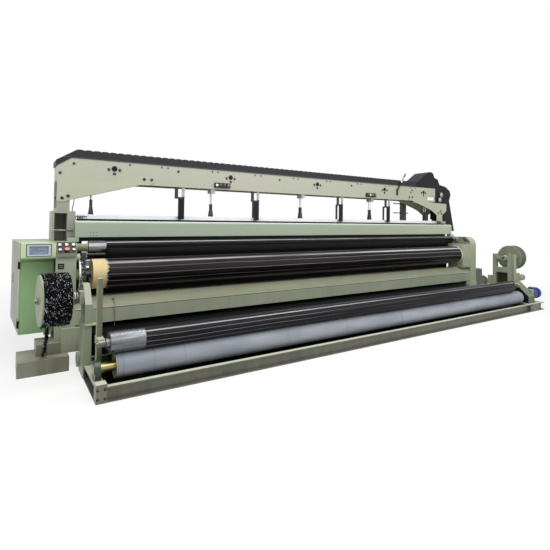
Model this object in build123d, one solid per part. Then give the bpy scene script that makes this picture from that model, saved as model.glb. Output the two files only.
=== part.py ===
"""Extra-wide power loom with its overhead bridge and its cloth batching stand.

Millimetres, +X along the loom to its right hand, +Y from the weaver to the back, +Z up.
The model is drawn about the loom's middle and then moved so that the middle of its
floor plan is the origin.
"""

from build123d import *
from math import acos, atan2, cos, degrees, pi, radians, sin
import os

# Loom: the two side frames and what spans them
INNER_SPAN = 7040.0
FRAME_THICKNESS = 190.0
FRAME_FRONT = -250.0
FRAME_REAR = 1480.0
FRAME_TOP = 1250.0
FRAME_FRONT_HEIGHT = 1092.0
FRAME_NOSE_RADIUS = 150.0
FRAME_RIM = 45.0
FRAME_WEB = 40.0
TOE_HEIGHT = 388.0
TOE_REACH = 50.0
TOE_OFFSET = 60.0
TOE_WIDTH = 270.0
FRAME_TAIL_HEIGHT = 1080.0
FRAME_RIB = 30.0
FRAME_RIB_REACHES = (420.0, 900.0)
FRAME_WINDOW_REACHES = (490.0, 850.0)
FRAME_WINDOW_SILL = 420.0
FRAME_WINDOW_HEAD = 900.0

# Cast box inside the right frame that takes the ends of the rollers
ROLLER_BOX_WIDTH = 250.0
ROLLER_BOX_DEPTH = 220.0
ROLLER_BOX_TOP = 1118.0

# Foot blocks under the front of the side frames
FOOT_HEIGHT = 146.0
FOOT_DEPTH = 415.0
FOOT_FRONT = -425.0
FOOT_OUTREACH = 323.0
FOOT_WIDTH = 445.0
FOOT_STEP_HEIGHT = 114.0
FOOT_STEP_WIDTH = 163.0

# Cross members
BREAST_BOTTOM = 402.0
BREAST_EDGE = 560.0
BREAST_TOP = 667.0
BREAST_DEPTH = 240.0
BREAST_SLOPE = 115.0
BEAM_WALL = 12.0
CROSS_BEAM_SIZE = 150.0
CROSS_BEAM_Z = 280.0
CROSS_BEAM_Y = 560.0
LOW_BEAM_SIZE = 90.0
LOW_BEAM_Z = 20.0
LOW_BEAM_Y = 1300.0

# Cloth path on the loom
GUIDE_Y = 50.0
GUIDE_Z = 1192.0
GUIDE_RADIUS = 68.0
GUIDE_JOURNAL_RADIUS = 28.0
GUIDE_CHROME_START = 152.0
GUIDE_CLOTH_START = 338.0
GUIDE_END = 210.0
GUIDE_CLOTH_END = 216.0
TAKE_UP_Y = -140.0
TAKE_UP_Z = 915.0
TAKE_UP_RADIUS = 160.0
TAKE_UP_JOURNAL_RADIUS = 36.0
TAKE_UP_START = 160.0
TAKE_UP_END = 345.0
TAKE_UP_CLOTH_START = 320.0
TAKE_UP_CLOTH_END = 362.0
TAKE_UP_RIM = 168.0
CLOTH_THICKNESS = 3.0
BEARING_LENGTH = 38.0
BEARING_WALL = 22.0
RUNNING_CLEARANCE = 0.05

# Cloth between the rollers
WEB_THICKNESS = 3.0
WEB_CLEARANCE = 0.4
WEB_START = 330.0
LOWER_WEB_START = 150.0
WEB_DROP = 36.0
WEB_NIP_GAP = 44.0

# Take-up gear pair
GEAR_MODULE = 6.0
GEAR_TEETH = 48
PINION_TEETH = 16
GEAR_WIDTH = 34.0
GEAR_BACKLASH = 1.2
GEAR_START = 60.0
PINION_ANGLE = 105.0
PINION_SHAFT_RADIUS = 20.0

# Fascia over the sley
FASCIA_FRONT = 140.0
FASCIA_BOTTOM = 1302.0
FASCIA_TOP = 1489.0
FASCIA_DEPTH = 85.0
FASCIA_SHEET = 5.0
FASCIA_LIP_RADIUS = 30.0
FASCIA_END_GAP = 32.0
FASCIA_POST_GAP = 70.0
FASCIA_POST_WIDTH = 30.0
FASCIA_FOOT = 44.0

# Sley with its reed
SLEY_Y = 310.0
SLEY_SHAFT_Z = 500.0
SLEY_SHAFT_RADIUS = 35.0
SLEY_BEAM_BOTTOM = 1250.0
SLEY_BEAM_HEIGHT = 130.0
SLEY_BEAM_DEPTH = 60.0
SLEY_SWORDS = 9
SLEY_SWORD_WIDTH = 60.0
SLEY_END_GAP = 60.0
REED_THICKNESS = 10.0
REED_CAP_BOTTOM = 1486.0
REED_CAP_HEIGHT = 27.0
REED_CAP_DEPTH = 30.0

# Heald frames and their lifting rods
HEALD_Y = 447.0
HEALD_PITCH = 40.0
HEALD_THICKNESS = 24.0
HEALD_TOP = 1565.0
HEALD_HEIGHT = 620.0
HEALD_RAIL = 62.0
HEALD_STILE = 30.0
HEALD_BAYS = 8
HEALD_END_GAP = 90.0
ROD_RADIUS = 8.0
ROD_TOP = 2120.0
ROD_START = 236.0
ROD_END = 460.0
ROD_COUNT = 5
CLEVIS_HEIGHT = 92.0
CLEVIS_WIDTH = 56.0
CLEVIS_PIN_RADIUS = 14.0
SOCKET_HEIGHT = 90.0
SOCKET_RADIUS = 15.0
ROD_BLOCK_HEIGHT = 62.0
ROD_BLOCK_WIDTH = 60.0
ROD_HOLE_CLEARANCE = 0.3
FORK_SHARES = (0.174, 0.360, 0.627, 0.814)
FORK_BAR = 34.0
FORK_TOP_Z = 1812.0
FORK_BOTTOM_Z = 1522.0
FORK_SPREAD = 66.0

# Overhead bridge
BRIDGE_FRONT = 380.0
BRIDGE_DEPTH = 340.0
BRIDGE_LEFT_INSET = 46.0
BRIDGE_RIGHT_INSET = 241.0
BRIDGE_BOTTOM = 1957.0
BRIDGE_TOP = 2230.0
BRIDGE_CORNER_X = 148.0
BRIDGE_CORNER_Z = 98.0
BRIDGE_SHEET = 8.0
BRIDGE_FLANGE = 45.0
COVER_HEIGHT = 96.0
COVER_SCALLOP = 92.0
COVER_SCALLOP_DEPTH = 9.0
COVER_OVERHANG = 6.0
NOTCH_BOTTOM = 1981.0
NOTCH_TOP = 2068.0
NOTCH_WIDTH = 226.0
NOTCH_EDGE = 14.0
PORT_RADIUS = 27.0
PORT_Z = 2138.0
PORT_FIRST = 630.0
PORT_PITCH = 1605.0
PORT_LAST = 369.0
GUSSET_THICKNESS = 8.0

# Corners of the gussets: x from an end of the bridge, z from its bottom
GUSSET_LEFT = [
    (0.0, -242.0),
    (64.0, -249.0),
    (193.0, -206.0),
    (957.0, 0.0),
    (1064.0, 0.0),
    (1119.0, 28.0),
    (1129.0, 73.0),
    (1044.0, 93.0),
    (616.0, 10.0),
    (0.0, 10.0),
]
GUSSET_RIGHT = [
    (-809.0, 93.0),
    (-839.0, 53.0),
    (-819.0, 18.0),
    (-690.0, -9.0),
    (-257.0, -133.0),
    (-96.0, -190.0),
    (51.0, -277.0),
    (51.0, -392.0),
    (235.0, -392.0),
    (235.0, -266.0),
    (371.0, -178.0),
    (371.0, -30.0),
    (11.0, -22.0),
    (-289.0, 0.0),
    (-659.0, 103.0),
]

# Columns of the bridge
COLUMN_INSET = 2.0
COLUMN_REACH = 56.0
COLUMN_SHELF = 1600.0
RIGHT_SHELF = 1565.0
RIGHT_SHELF_REACH = 160.0
RIGHT_COLUMN_WIDTH = 140.0
COLUMN_WALL = 25.0
COLUMN_FLANGE = 88.0
COLUMN_POST_WIDTH = 138.0
COLUMN_FRONT_REACH = 20.0
COLUMN_REAR_REACH = 10.0
POST_WALL = 12.0
POST_RIM = 30.0
POST_SILL = 40.0
POST_HEAD = 20.0

# Black guard over the shedding drive at the right end
HOOD_INSET = 6.0
HOOD_START = 599.0
HOOD_LEG_BOTTOM = 1355.0
HOOD_LEG_GAP = 35.0
HOOD_DISC_RADIUS = 48.0
HOOD_DISC_REACH = 14.0

# Corners of its hump and its leg and the middles of its discs: x from the right end of the
# bridge, z from the bridge's top
HOOD_HUMP = [
    (-555.0, 100.0),
    (-369.0, 226.0),
    (-224.0, 320.0),
    (-138.0, 339.0),
    (-74.0, 324.0),
    (-40.0, 284.0),
    (-7.0, 224.0),
    (93.0, 200.0),
    (160.0, 89.0),
    (364.0, 58.0),
    (503.0, -20.0),
    (538.0, -104.0),
    (486.0, -235.0),
]
HOOD_LEG = [661.0, 340.0, 290.0]
HOOD_SHOULDER = [(290.0, -290.0), (8.0, -285.0), (8.0, 0.0)]
HOOD_DISCS = [(200.0, -120.0), (150.0, -227.0)]

# Signal lamp
LAMP_FROM_END = 1167.0
LAMP_Z = 2046.0
LAMP_RISE = 110.0
LAMP_LEAN = 35.0
LAMP_RADIUS = 15.0
LAMP_LENGTH = 400.0

# Control stations on the bridge
STATION_FIRST = 2098.0
STATION_LAST = 1867.0
STATION_WIDTH = 240.0
STATION_HEIGHT = 66.0
STATION_DEPTH = 26.0
STATION_Z = 2014.0
STATION_BUTTONS = 4

# Control cabinet on the left side frame
CABINET_WIDTH = 311.0
CABINET_FRONT = -50.0
CABINET_DEPTH = 1000.0
CABINET_BOTTOM = 322.0
CABINET_TOP = 1255.0
CABINET_FLARE = 60.0
CABINET_SHEET = 5.0
CABINET_RIM = 14.0
DOOR_TOP = 1060.0
DOOR_BOTTOM = 330.0
DOOR_THICKNESS = 22.0
DOOR_GAP = 2.0
HINGE_RADIUS = 11.0
HINGE_PIN_RADIUS = 5.0
HINGE_HEIGHT = 60.0
HINGE_LUG = 12.0
HINGE_Z = [430.0, 1028.0]
EQUIPMENT_DEPTH = 230.0
HOOD_DEPTH = 205.0
HOOD_BOTTOM = 1105.0
HOOD_TOP = 1258.0
HOOD_LEFT = 8.0
HOOD_CHIN = 14.0
HOOD_LEAN = 12.0
BEZEL_WIDTH = 224.0
BEZEL_HEIGHT = 128.0
BEZEL_RECESS = 4.0
SCREEN_WIDTH = 157.0
SCREEN_HEIGHT = 70.0
SCREEN_RECESS = 8.0

# Operator boxes on the side frames
OPERATOR_REACH = 35.0
OPERATOR_BOTTOM = 1120.0
OPERATOR_EDGE = 1162.0
OPERATOR_TOP = 1262.0
OPERATOR_WIDTH = 184.0
OPERATOR_INSET = 6.0
OPERATOR_DEPTH = 200.0
RIGHT_OPERATOR_REACH = 5.0
RIGHT_OPERATOR_DEPTH = 150.0
RIGHT_OPERATOR_WIDTH = 180.0
RIGHT_OPERATOR_EDGE = 1160.0
RIGHT_OPERATOR_TOP = 1252.0
SOCKET_OFFSET = 20.0
SOCKET_SIZE = 52.0
SOCKET_BOTTOM = 995.0
SOCKET_THICKNESS = 8.0
BUTTON_RADIUS = 15.0
BUTTON_STEM_RADIUS = 8.0
BUTTON_STEM_LENGTH = 18.0
BUTTON_CAP = 9.0
BUTTON_TRAVEL = 4.0
BUTTON_PITCH = 64.0
MUSHROOM_RADIUS = 23.0
MUSHROOM_HEIGHT = 20.0

# Warp side
WARP_Y = 1180.0
WARP_FLOOR_GAP = 120.0
WARP_REST_GAP = 160.0
WARP_FLANGE_THICKNESS = 25.0
WARP_BARREL_RADIUS = 110.0
WARP_YARN_RIM = 80.0
WARP_END_GAP = 180.0
WARP_SHAFT_RADIUS = 45.0
BACK_REST_Y = 1400.0
BACK_REST_DROP = 80.0
BACK_REST_RADIUS = 70.0
BACK_REST_SHAFT_RADIUS = 30.0

# Hanger behind the bridge
HANGER_FROM_END = 575.0
HANGER_WIDTH = 105.0
HANGER_DEPTH = 80.0
HANGER_BOTTOM = 1520.0
HANGER_TOP = 2050.0
HANGER_BAR_RADIUS = 10.0
HANGER_BAR_REACH = 241.0
HANGER_BAR_TAIL = 96.0
HANGER_HIGH_BAR = 1912.0
HANGER_LOW_BAR = 1720.0

# Batching stand in front of the loom
SILL_FRONT = -1383.0
SILL_HEIGHT = 130.0
SILL_DEPTH = 52.0
SILL_WEB = 8.0
SILL_FLANGE = 11.0
SILL_LEFT_GAP = 106.0
SILL_RIGHT_GAP = 30.0
REAR_SILL_Y = -480.0
BEAM_WIDTH = 87.0
CORNER_HEIGHT = 155.0
CORNER_DEPTH = 95.0
RIGHT_BOX_WIDTH = 354.0
RIGHT_FLANGE_REACH = 120.0

# Drive roller and batch roller
DRIVE_Y = -1160.0
DRIVE_Z = 222.0
DRIVE_RADIUS = 108.0
DRIVE_START = 98.0
DRIVE_END = 4.0
DRIVE_CAP_RADIUS = 80.0
DRIVE_CAP_LENGTH = 36.0
DRIVE_SHAFT_RADIUS = 43.0
PILLOW_HALF = 70.0
PILLOW_WIDTH = 48.0
PILLOW_INSET = 22.0
BATCH_RADIUS = 95.5
BATCH_CLOTH_THICKNESS = 2.0
BATCH_NIP = 0.7
BATCH_START = 52.0
BATCH_HUB_RADIUS = 44.0
BATCH_HUB_LENGTH = 28.0
BATCH_SHAFT_RADIUS = 14.0
BATCH_CLOTH_START = 352.0
BATCH_END = 240.0
BATCH_CLOTH_END = 244.0
BATCH_LIFT = 430.0
POST_WIDTH = 44.0
POST_DEPTH = 60.0
POST_Y = -1045.0
POST_TOP = 976.0
LEFT_POST_SHIFT = 14.0
CARRIAGE_HEIGHT = 64.0
CARRIAGE_REACH = 24.0
CARRIAGE_WALL = 6.0
SLIDE_CLEARANCE = 0.5

# Drive at the right end of the stand
GUARD_GAP = 55.0
GUARD_WIDTH = 208.0
GUARD_FRONT = -1320.0
GUARD_REAR = -1000.0
GUARD_LOW = 250.0
GUARD_HIGH = 492.0
GUARD_SHEET = 4.0
GEARBOX_WIDTH = 50.0
GEARBOX_HALF = 85.0
MOTOR_Y = -1200.0
MOTOR_Z = 264.0
MOTOR_RADIUS = 90.0
MOTOR_LENGTH = 250.0
MOTOR_FINS = 10
FIN_HEIGHT = 8.0

# Waste reels
REEL_STAND_FRONT = -760.0
REEL_STAND_DEPTH = 260.0
LEFT_STAND_WIDTH = 60.0
LEFT_STAND_SHELF = 515.0
LEDGE_REACH = 62.0
LEFT_STAND_LOW = 700.0
LEFT_STAND_TOP = 874.0
LEFT_REEL_Z = 756.0
LEFT_REEL_YAW = 4.4
LEFT_REEL_RADIUS = 229.0
LEFT_REEL_LENGTH = 338.0
LEFT_REEL_NECK = 92.0
LEFT_WINDING_RADIUS = 240.0
LEFT_BEARING_LENGTH = 40.0
REEL_SHAFT_RADIUS = 18.0
REEL_CORE_RADIUS = 60.0
REEL_FLANGE_THICKNESS = 12.0
RIGHT_STAND_GAP = 26.0
RIGHT_STAND_FRONT = -905.0
RIGHT_STAND_WIDTH = 84.0
RIGHT_STAND_POST = 62.0
RIGHT_STAND_TOP = 938.0
RIGHT_STAND_BAR = 590.0
RIGHT_STAND_BAR_HEIGHT = 95.0
RIGHT_REEL_Z = 866.0
RIGHT_REEL_RADIUS = 230.0
RIGHT_REEL_GAP = 132.0
RIGHT_REEL_LENGTH = 188.0
RIGHT_WINDING_RADIUS = 222.0
WINDING_RIDGES = 9
WINDING_RIDGE = 7.0

# Strand of waste that hangs from the left reel
TAIL_RADIUS = 12.0
TAIL_ROUTE = [
    (-286.0, -650.0, 513.7),
    (-286.0, -646.0, 462.0),
    (-284.0, -588.0, 380.0),
    (-288.0, -504.0, 292.0),
    (-286.0, -424.0, 212.0),
    (-290.0, -364.0, 170.0),
    (-289.0, -322.0, 158.1),
]

# Main drive beside the right side frame
MAIN_BOX_WIDTH = 471.0
MAIN_BOX_TOP = 589.0
MAIN_BOX_FRONT = -100.0
MAIN_BOX_DEPTH = 230.0
MAIN_MOTOR_RADIUS = 102.0
MAIN_MOTOR_LENGTH = 300.0
MAIN_MOTOR_Y = 50.0
MAIN_MOTOR_Z = 300.0

# Worked out from the sizes above
inner = INNER_SPAN / 2
back_rest_z = FRAME_TAIL_HEIGHT - BACK_REST_DROP
# The warp beam is as large as fits between the floor and the back rest above it
warp_flange_radius = (back_rest_z - WARP_REST_GAP + WARP_YARN_RIM - WARP_FLOOR_GAP) / 2
warp_yarn_radius = warp_flange_radius - WARP_YARN_RIM
warp_z = WARP_FLOOR_GAP + warp_flange_radius
outer = inner + FRAME_THICKNESS
left_end = -outer - CABINET_WIDTH - CABINET_FLARE
right_end = outer + MAIN_BOX_WIDTH + MAIN_MOTOR_LENGTH
front_end = SILL_FRONT
rear_end = WARP_Y + warp_flange_radius
batch_cloth_radius = BATCH_RADIUS + BATCH_CLOTH_THICKNESS
BATCH_Z = DRIVE_Z + DRIVE_RADIUS + batch_cloth_radius + BATCH_NIP
gear_radius = GEAR_MODULE * GEAR_TEETH / 2
pinion_radius = GEAR_MODULE * PINION_TEETH / 2
pinion_y = TAKE_UP_Y + (gear_radius + pinion_radius) * cos(radians(PINION_ANGLE))
pinion_z = TAKE_UP_Z + (gear_radius + pinion_radius) * sin(radians(PINION_ANGLE))
bridge_rear = BRIDGE_FRONT + BRIDGE_DEPTH
bridge_left = -outer + BRIDGE_LEFT_INSET
bridge_right = inner - BRIDGE_RIGHT_INSET
hood_left = bridge_right - HOOD_START
ports = [bridge_left + PORT_FIRST + number * PORT_PITCH for number in range(4)]
ports.append(bridge_right - PORT_LAST)
column_outer = outer - COLUMN_INSET
column_inner = inner - COLUMN_REACH
rod_first = -inner + ROD_START
rod_pitch = (2 * inner - ROD_START - ROD_END) / (ROD_COUNT - 1)
foot_left = -outer - FOOT_OUTREACH
sill_left = -inner + SILL_LEFT_GAP
sill_right = inner - SILL_RIGHT_GAP
guard_left = sill_right + GUARD_GAP
right_stand_x = sill_right + RIGHT_BOX_WIDTH + RIGHT_STAND_GAP

to_origin = Pos(-(left_end + right_end) / 2, -(front_end + rear_end) / 2, 0)
nodes = {}


def block(x0, x1, y0, y1, z0, z1):
    """A box between two corners."""
    middle = Pos((x0 + x1) / 2, (y0 + y1) / 2, (z0 + z1) / 2)
    return middle * Box(x1 - x0, y1 - y0, z1 - z0)


def bar_x(x0, x1, y, z, radius):
    """A round bar along the loom."""
    return Pos((x0 + x1) / 2, y, z) * Rot(0, 90, 0) * Cylinder(radius, x1 - x0)


def bar_y(x, y0, y1, z, radius):
    """A round bar from front to back."""
    return Pos(x, (y0 + y1) / 2, z) * Rot(90, 0, 0) * Cylinder(radius, y1 - y0)


def bar_z(x, y, z0, z1, radius):
    """An upright round bar."""
    return Pos(x, y, (z0 + z1) / 2) * Cylinder(radius, z1 - z0)


def section_x(points, x0, x1):
    """A profile of (y, z) points drawn out along the loom."""
    wire = Polyline(*[(x0, y, z) for y, z in points], close=True)
    return extrude(make_face(wire), amount=x1 - x0, dir=(1, 0, 0))


def section_y(points, y0, y1):
    """A profile of (x, z) points drawn out from front to back."""
    wire = Polyline(*[(x, y0, z) for x, z in points], close=True)
    return extrude(make_face(wire), amount=y1 - y0, dir=(0, 1, 0))


def section_z(points, z0, z1):
    """A profile of (x, y) points drawn up."""
    wire = Polyline(*[(x, y, z0) for x, y in points], close=True)
    return extrude(make_face(wire), amount=z1 - z0, dir=(0, 0, 1))


def channel_x(x0, x1, y_open, y_web, height):
    """A rolled channel along the loom with its mouth at y_open."""
    side = 1 if y_web > y_open else -1
    inside = y_web - side * SILL_WEB
    solid = block(x0, x1, min(y_open, y_web), max(y_open, y_web), 0, height)
    return solid - block(
        x0, x1, min(y_open, inside), max(y_open, inside), SILL_FLANGE, height - SILL_FLANGE
    )


def keep(name, *solids):
    """Files the solids of one node, moved to the origin of the floor plan."""
    nodes[name] = [to_origin * solid for solid in solids]


def toothed_wheel(teeth, width, bore, phase):
    """A spur wheel along the loom about the origin, one tooth at the phase in degrees."""
    pitch = GEAR_MODULE * teeth / 2
    root = pitch - 1.2 * GEAR_MODULE
    tip = pitch + 0.9 * GEAR_MODULE
    points = []
    for tooth in range(teeth):
        middle = radians(phase) + 2 * pi * tooth / teeth
        for share, radius in ((-0.40, root), (-0.13, tip), (0.13, tip), (0.40, root)):
            shrink = GEAR_BACKLASH / 4 / pitch
            angle = share * 2 * pi / teeth
            angle -= shrink if angle > 0 else -shrink
            points.append((radius * cos(middle + angle), radius * sin(middle + angle)))
    wheel = section_x(points, -width / 2, width / 2)
    return wheel - bar_x(-width, width, 0, 0, bore)


def frame_outline():
    """The (y, z) points round a side frame."""
    y0, y1 = FRAME_FRONT, FRAME_REAR
    outline = [
        (y0, FOOT_HEIGHT),
        (y0 + 300, FOOT_HEIGHT),
        (y0 + 460, FOOT_HEIGHT + 90),
        (y1 - 480, FOOT_HEIGHT + 90),
        (y1 - 330, 0),
        (y1, 0),
        (y1, FRAME_TAIL_HEIGHT - 120),
        (y1 - 60, FRAME_TAIL_HEIGHT),
        (y1 - 460, FRAME_TAIL_HEIGHT),
        (y1 - 620, FRAME_TOP),
        (y0 + FRAME_NOSE_RADIUS, FRAME_TOP),
    ]
    steps = 6
    for step in range(1, steps + 1):
        turn = radians(90 + 90 * step / steps)
        outline.append(
            (
                y0 + FRAME_NOSE_RADIUS + FRAME_NOSE_RADIUS * cos(turn),
                FRAME_TOP - FRAME_NOSE_RADIUS + FRAME_NOSE_RADIUS * sin(turn),
            )
        )
    return outline


def side_frame():
    """The right-hand cast side frame: a web inside a rim, with a window and bores."""
    y0, y1 = FRAME_FRONT, FRAME_REAR
    frame = section_x(frame_outline(), inner, outer)
    rim = FRAME_RIM
    pocket = [
        (y0 + rim, FOOT_HEIGHT + rim),
        (y0 + 270, FOOT_HEIGHT + rim),
        (y0 + 440, FOOT_HEIGHT + 90 + rim),
        (y1 - 470, FOOT_HEIGHT + 90 + rim),
        (y1 - 310, rim),
        (y1 - rim, rim),
        (y1 - rim, FRAME_TAIL_HEIGHT - 140),
        (y1 - 80, FRAME_TAIL_HEIGHT - rim),
        (y1 - 480, FRAME_TAIL_HEIGHT - rim),
        (y1 - 640, FRAME_TOP - rim),
        (y0 + FRAME_NOSE_RADIUS, FRAME_TOP - rim),
        (y0 + rim, FRAME_TOP - FRAME_NOSE_RADIUS),
    ]
    frame -= section_x(pocket, inner + FRAME_WEB, outer)
    for reach in FRAME_RIB_REACHES:
        rib_foot = FOOT_HEIGHT + 90 + rim
        rib_end = y0 + reach + FRAME_RIB
        frame += block(inner + FRAME_WEB, outer, y0 + reach, rib_end, rib_foot, FRAME_TOP - rim)
    frame += bar_x(inner + FRAME_WEB, outer, WARP_Y, warp_z, WARP_SHAFT_RADIUS + 60)
    near, far = (y0 + reach for reach in FRAME_WINDOW_REACHES)
    frame -= block(inner, outer, near, far, FRAME_WINDOW_SILL, FRAME_WINDOW_HEAD)
    bores = [
        (WARP_Y, warp_z, WARP_SHAFT_RADIUS),
        (BACK_REST_Y, back_rest_z, BACK_REST_SHAFT_RADIUS),
        (SLEY_Y, SLEY_SHAFT_Z, SLEY_SHAFT_RADIUS),
    ]
    for y, z, radius in bores:
        frame -= bar_x(inner - 1, outer + 1, y, z, radius + RUNNING_CLEARANCE)
    toe_right = outer - TOE_OFFSET
    toe_front = y0 - TOE_REACH
    frame += block(toe_right - TOE_WIDTH, toe_right, toe_front, y0, FOOT_HEIGHT, TOE_HEIGHT)
    return frame


def make_side_frames():
    """Both frames; the right one carries the box that takes the ends of the rollers."""
    frame = side_frame()
    box_left = inner - ROLLER_BOX_WIDTH
    box_rear = FRAME_FRONT + ROLLER_BOX_DEPTH
    box = block(box_left, inner, FRAME_FRONT, box_rear, BREAST_TOP, ROLLER_BOX_TOP)
    hollow = block(
        box_left + BEAM_WALL,
        inner,
        FRAME_FRONT + BEAM_WALL,
        box_rear,
        BREAST_TOP + BEAM_WALL,
        ROLLER_BOX_TOP - BEAM_WALL,
    )
    box -= hollow
    journal = TAKE_UP_JOURNAL_RADIUS + RUNNING_CLEARANCE
    box -= bar_x(box_left - 1, box_left + BEAM_WALL + 1, TAKE_UP_Y, TAKE_UP_Z, journal)
    keep("side_frame_right", frame + box)
    keep("side_frame_left", mirror(frame, Plane.YZ))


def make_foot_blocks():
    """Two stepped blocks that carry the front of the frames."""
    x0 = foot_left
    rear = FOOT_FRONT + FOOT_DEPTH
    foot = block(x0, x0 + FOOT_WIDTH, FOOT_FRONT, rear, 0, FOOT_HEIGHT)
    step_top = FOOT_HEIGHT + FOOT_STEP_HEIGHT
    step_left = -outer - FOOT_STEP_WIDTH
    step_front = FRAME_FRONT - TOE_REACH
    toe_left = -outer + TOE_OFFSET
    foot += block(step_left, -outer, step_front, rear, FOOT_HEIGHT, step_top)
    foot += block(-outer, toe_left, step_front, FRAME_FRONT, FOOT_HEIGHT, step_top)
    keep("foot_blocks", foot, mirror(foot, Plane.YZ))


def make_cross_members():
    """Breast beam in front and two square tubes behind, all between the frames."""
    front = FRAME_FRONT
    outline = [
        (front, BREAST_BOTTOM),
        (front, BREAST_EDGE),
        (front + BREAST_SLOPE, BREAST_TOP),
        (front + BREAST_DEPTH, BREAST_TOP),
        (front + BREAST_DEPTH, BREAST_BOTTOM),
    ]
    wall = BEAM_WALL
    hollow = [
        (front + wall, BREAST_BOTTOM + wall),
        (front + wall, BREAST_EDGE - wall / 2),
        (front + BREAST_SLOPE + wall / 2, BREAST_TOP - wall),
        (front + BREAST_DEPTH - wall, BREAST_TOP - wall),
        (front + BREAST_DEPTH - wall, BREAST_BOTTOM + wall),
    ]
    beam = section_x(outline, -inner, inner) - section_x(hollow, -inner, inner)
    keep("breast_beam", beam)
    tubes = []
    places = ((CROSS_BEAM_Y, CROSS_BEAM_Z, CROSS_BEAM_SIZE), (LOW_BEAM_Y, LOW_BEAM_Z, LOW_BEAM_SIZE))
    for y, z, size in places:
        tube = block(-inner, inner, y, y + size, z, z + size)
        tube -= block(-inner, inner, y + wall, y + size - wall, z + wall, z + size - wall)
        tubes.append(tube)
    keep("rear_cross_beams", *tubes)


def make_guide_roller():
    """Upper roller that turns the cloth down, chrome at its ends, with the cloth round it."""
    y, z = GUIDE_Y, GUIDE_Z
    body = bar_x(-inner + GUIDE_CHROME_START, inner - GUIDE_END, y, z, GUIDE_RADIUS)
    journal = bar_x(-inner + 2, inner - 2, y, z, GUIDE_JOURNAL_RADIUS)
    keep("guide_roller", body + journal)
    cloth = bar_x(
        -inner + GUIDE_CLOTH_START,
        inner - GUIDE_CLOTH_END,
        y,
        z,
        GUIDE_RADIUS + CLOTH_THICKNESS,
    )
    keep("guide_roller_cloth", cloth - bar_x(-inner, inner, y, z, GUIDE_RADIUS))


def make_take_up_roller():
    """Large gripping roller under the guide roller, its cloth and its gear pair."""
    y, z = TAKE_UP_Y, TAKE_UP_Z
    body = bar_x(-inner + TAKE_UP_START, inner - TAKE_UP_END, y, z, TAKE_UP_RADIUS)
    body += bar_x(inner - TAKE_UP_CLOTH_END + 1, inner - TAKE_UP_END, y, z, TAKE_UP_RIM)
    journal = bar_x(-inner + 2, inner - 2, y, z, TAKE_UP_JOURNAL_RADIUS)
    keep("take_up_roller", body + journal)
    cloth = bar_x(
        -inner + TAKE_UP_CLOTH_START,
        inner - TAKE_UP_CLOTH_END,
        y,
        z,
        TAKE_UP_RADIUS + CLOTH_THICKNESS,
    )
    keep("take_up_cloth", cloth - bar_x(-inner, inner, y, z, TAKE_UP_RADIUS))
    gear_x = -inner + GEAR_START + GEAR_WIDTH / 2
    gear = toothed_wheel(GEAR_TEETH, GEAR_WIDTH, TAKE_UP_JOURNAL_RADIUS, PINION_ANGLE)
    for spoke in range(6):
        turn = radians(60 * spoke + 30)
        hole_y = gear_radius * 0.6 * cos(turn)
        hole_z = gear_radius * 0.6 * sin(turn)
        gear -= bar_x(-GEAR_WIDTH, GEAR_WIDTH, hole_y, hole_z, gear_radius * 0.2)
    keep("take_up_gear", Pos(gear_x, y, z) * gear)
    half_tooth = 180 / PINION_TEETH
    pinion = toothed_wheel(
        PINION_TEETH, GEAR_WIDTH, PINION_SHAFT_RADIUS / 2, PINION_ANGLE + 180 + half_tooth
    )
    shaft = bar_x(-inner + 2, gear_x + GEAR_WIDTH / 2 + 12, pinion_y, pinion_z, PINION_SHAFT_RADIUS)
    keep("take_up_pinion", Pos(gear_x, pinion_y, pinion_z) * pinion + shaft)


def bearing(x0, x1, y, z, radius):
    """A flanged bearing housing bored for a journal."""
    housing = bar_x(x0, x1, y, z, radius + BEARING_WALL)
    return housing - bar_x(x0 - 1, x1 + 1, y, z, radius + RUNNING_CLEARANCE)


def make_roller_bearings():
    """Housings on the inner faces of the side frames."""
    places = [
        (GUIDE_Y, GUIDE_Z, GUIDE_JOURNAL_RADIUS),
        (TAKE_UP_Y, TAKE_UP_Z, TAKE_UP_JOURNAL_RADIUS),
    ]
    housings = []
    for y, z, radius in places:
        housings.append(bearing(-inner, -inner + BEARING_LENGTH, y, z, radius))
        housings.append(bearing(inner - BEARING_LENGTH, inner, y, z, radius))
    housings.append(bearing(-inner, -inner + BEARING_LENGTH, pinion_y, pinion_z, PINION_SHAFT_RADIUS))
    keep("roller_bearings", *housings)


def make_fascia():
    """Folded front cover with a rounded lip, on a post at each end."""
    front, rear = FASCIA_FRONT, FASCIA_FRONT + FASCIA_DEPTH
    lip = FASCIA_LIP_RADIUS
    outline = [(front, FASCIA_BOTTOM), (front, FASCIA_TOP - lip)]
    inside = [(front + FASCIA_SHEET, FASCIA_BOTTOM), (front + FASCIA_SHEET, FASCIA_TOP - lip)]
    for step in range(1, 5):
        turn = radians(180 - 22.5 * step)
        for points, radius in ((outline, lip), (inside, lip - FASCIA_SHEET)):
            points.append((front + lip + radius * cos(turn), FASCIA_TOP - lip + radius * sin(turn)))
    outline.append((rear, FASCIA_TOP))
    inside.append((rear, FASCIA_TOP - FASCIA_SHEET))
    half = inner - FASCIA_END_GAP
    sheet = section_x(outline + inside[::-1], -half, half)
    post_x = inner - FASCIA_POST_GAP
    for side in (-1, 1):
        reach = inner + FASCIA_FOOT
        foot = [side * post_x, side * reach]
        post = [side * post_x, side * (post_x + FASCIA_POST_WIDTH)]
        behind = front + FASCIA_SHEET
        sheet += block(min(foot), max(foot), behind, rear, FRAME_TOP, FRAME_TOP + FASCIA_FOOT)
        sheet += block(min(post), max(post), behind, rear, FRAME_TOP, FASCIA_TOP - lip)
    keep("fascia", sheet)


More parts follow.
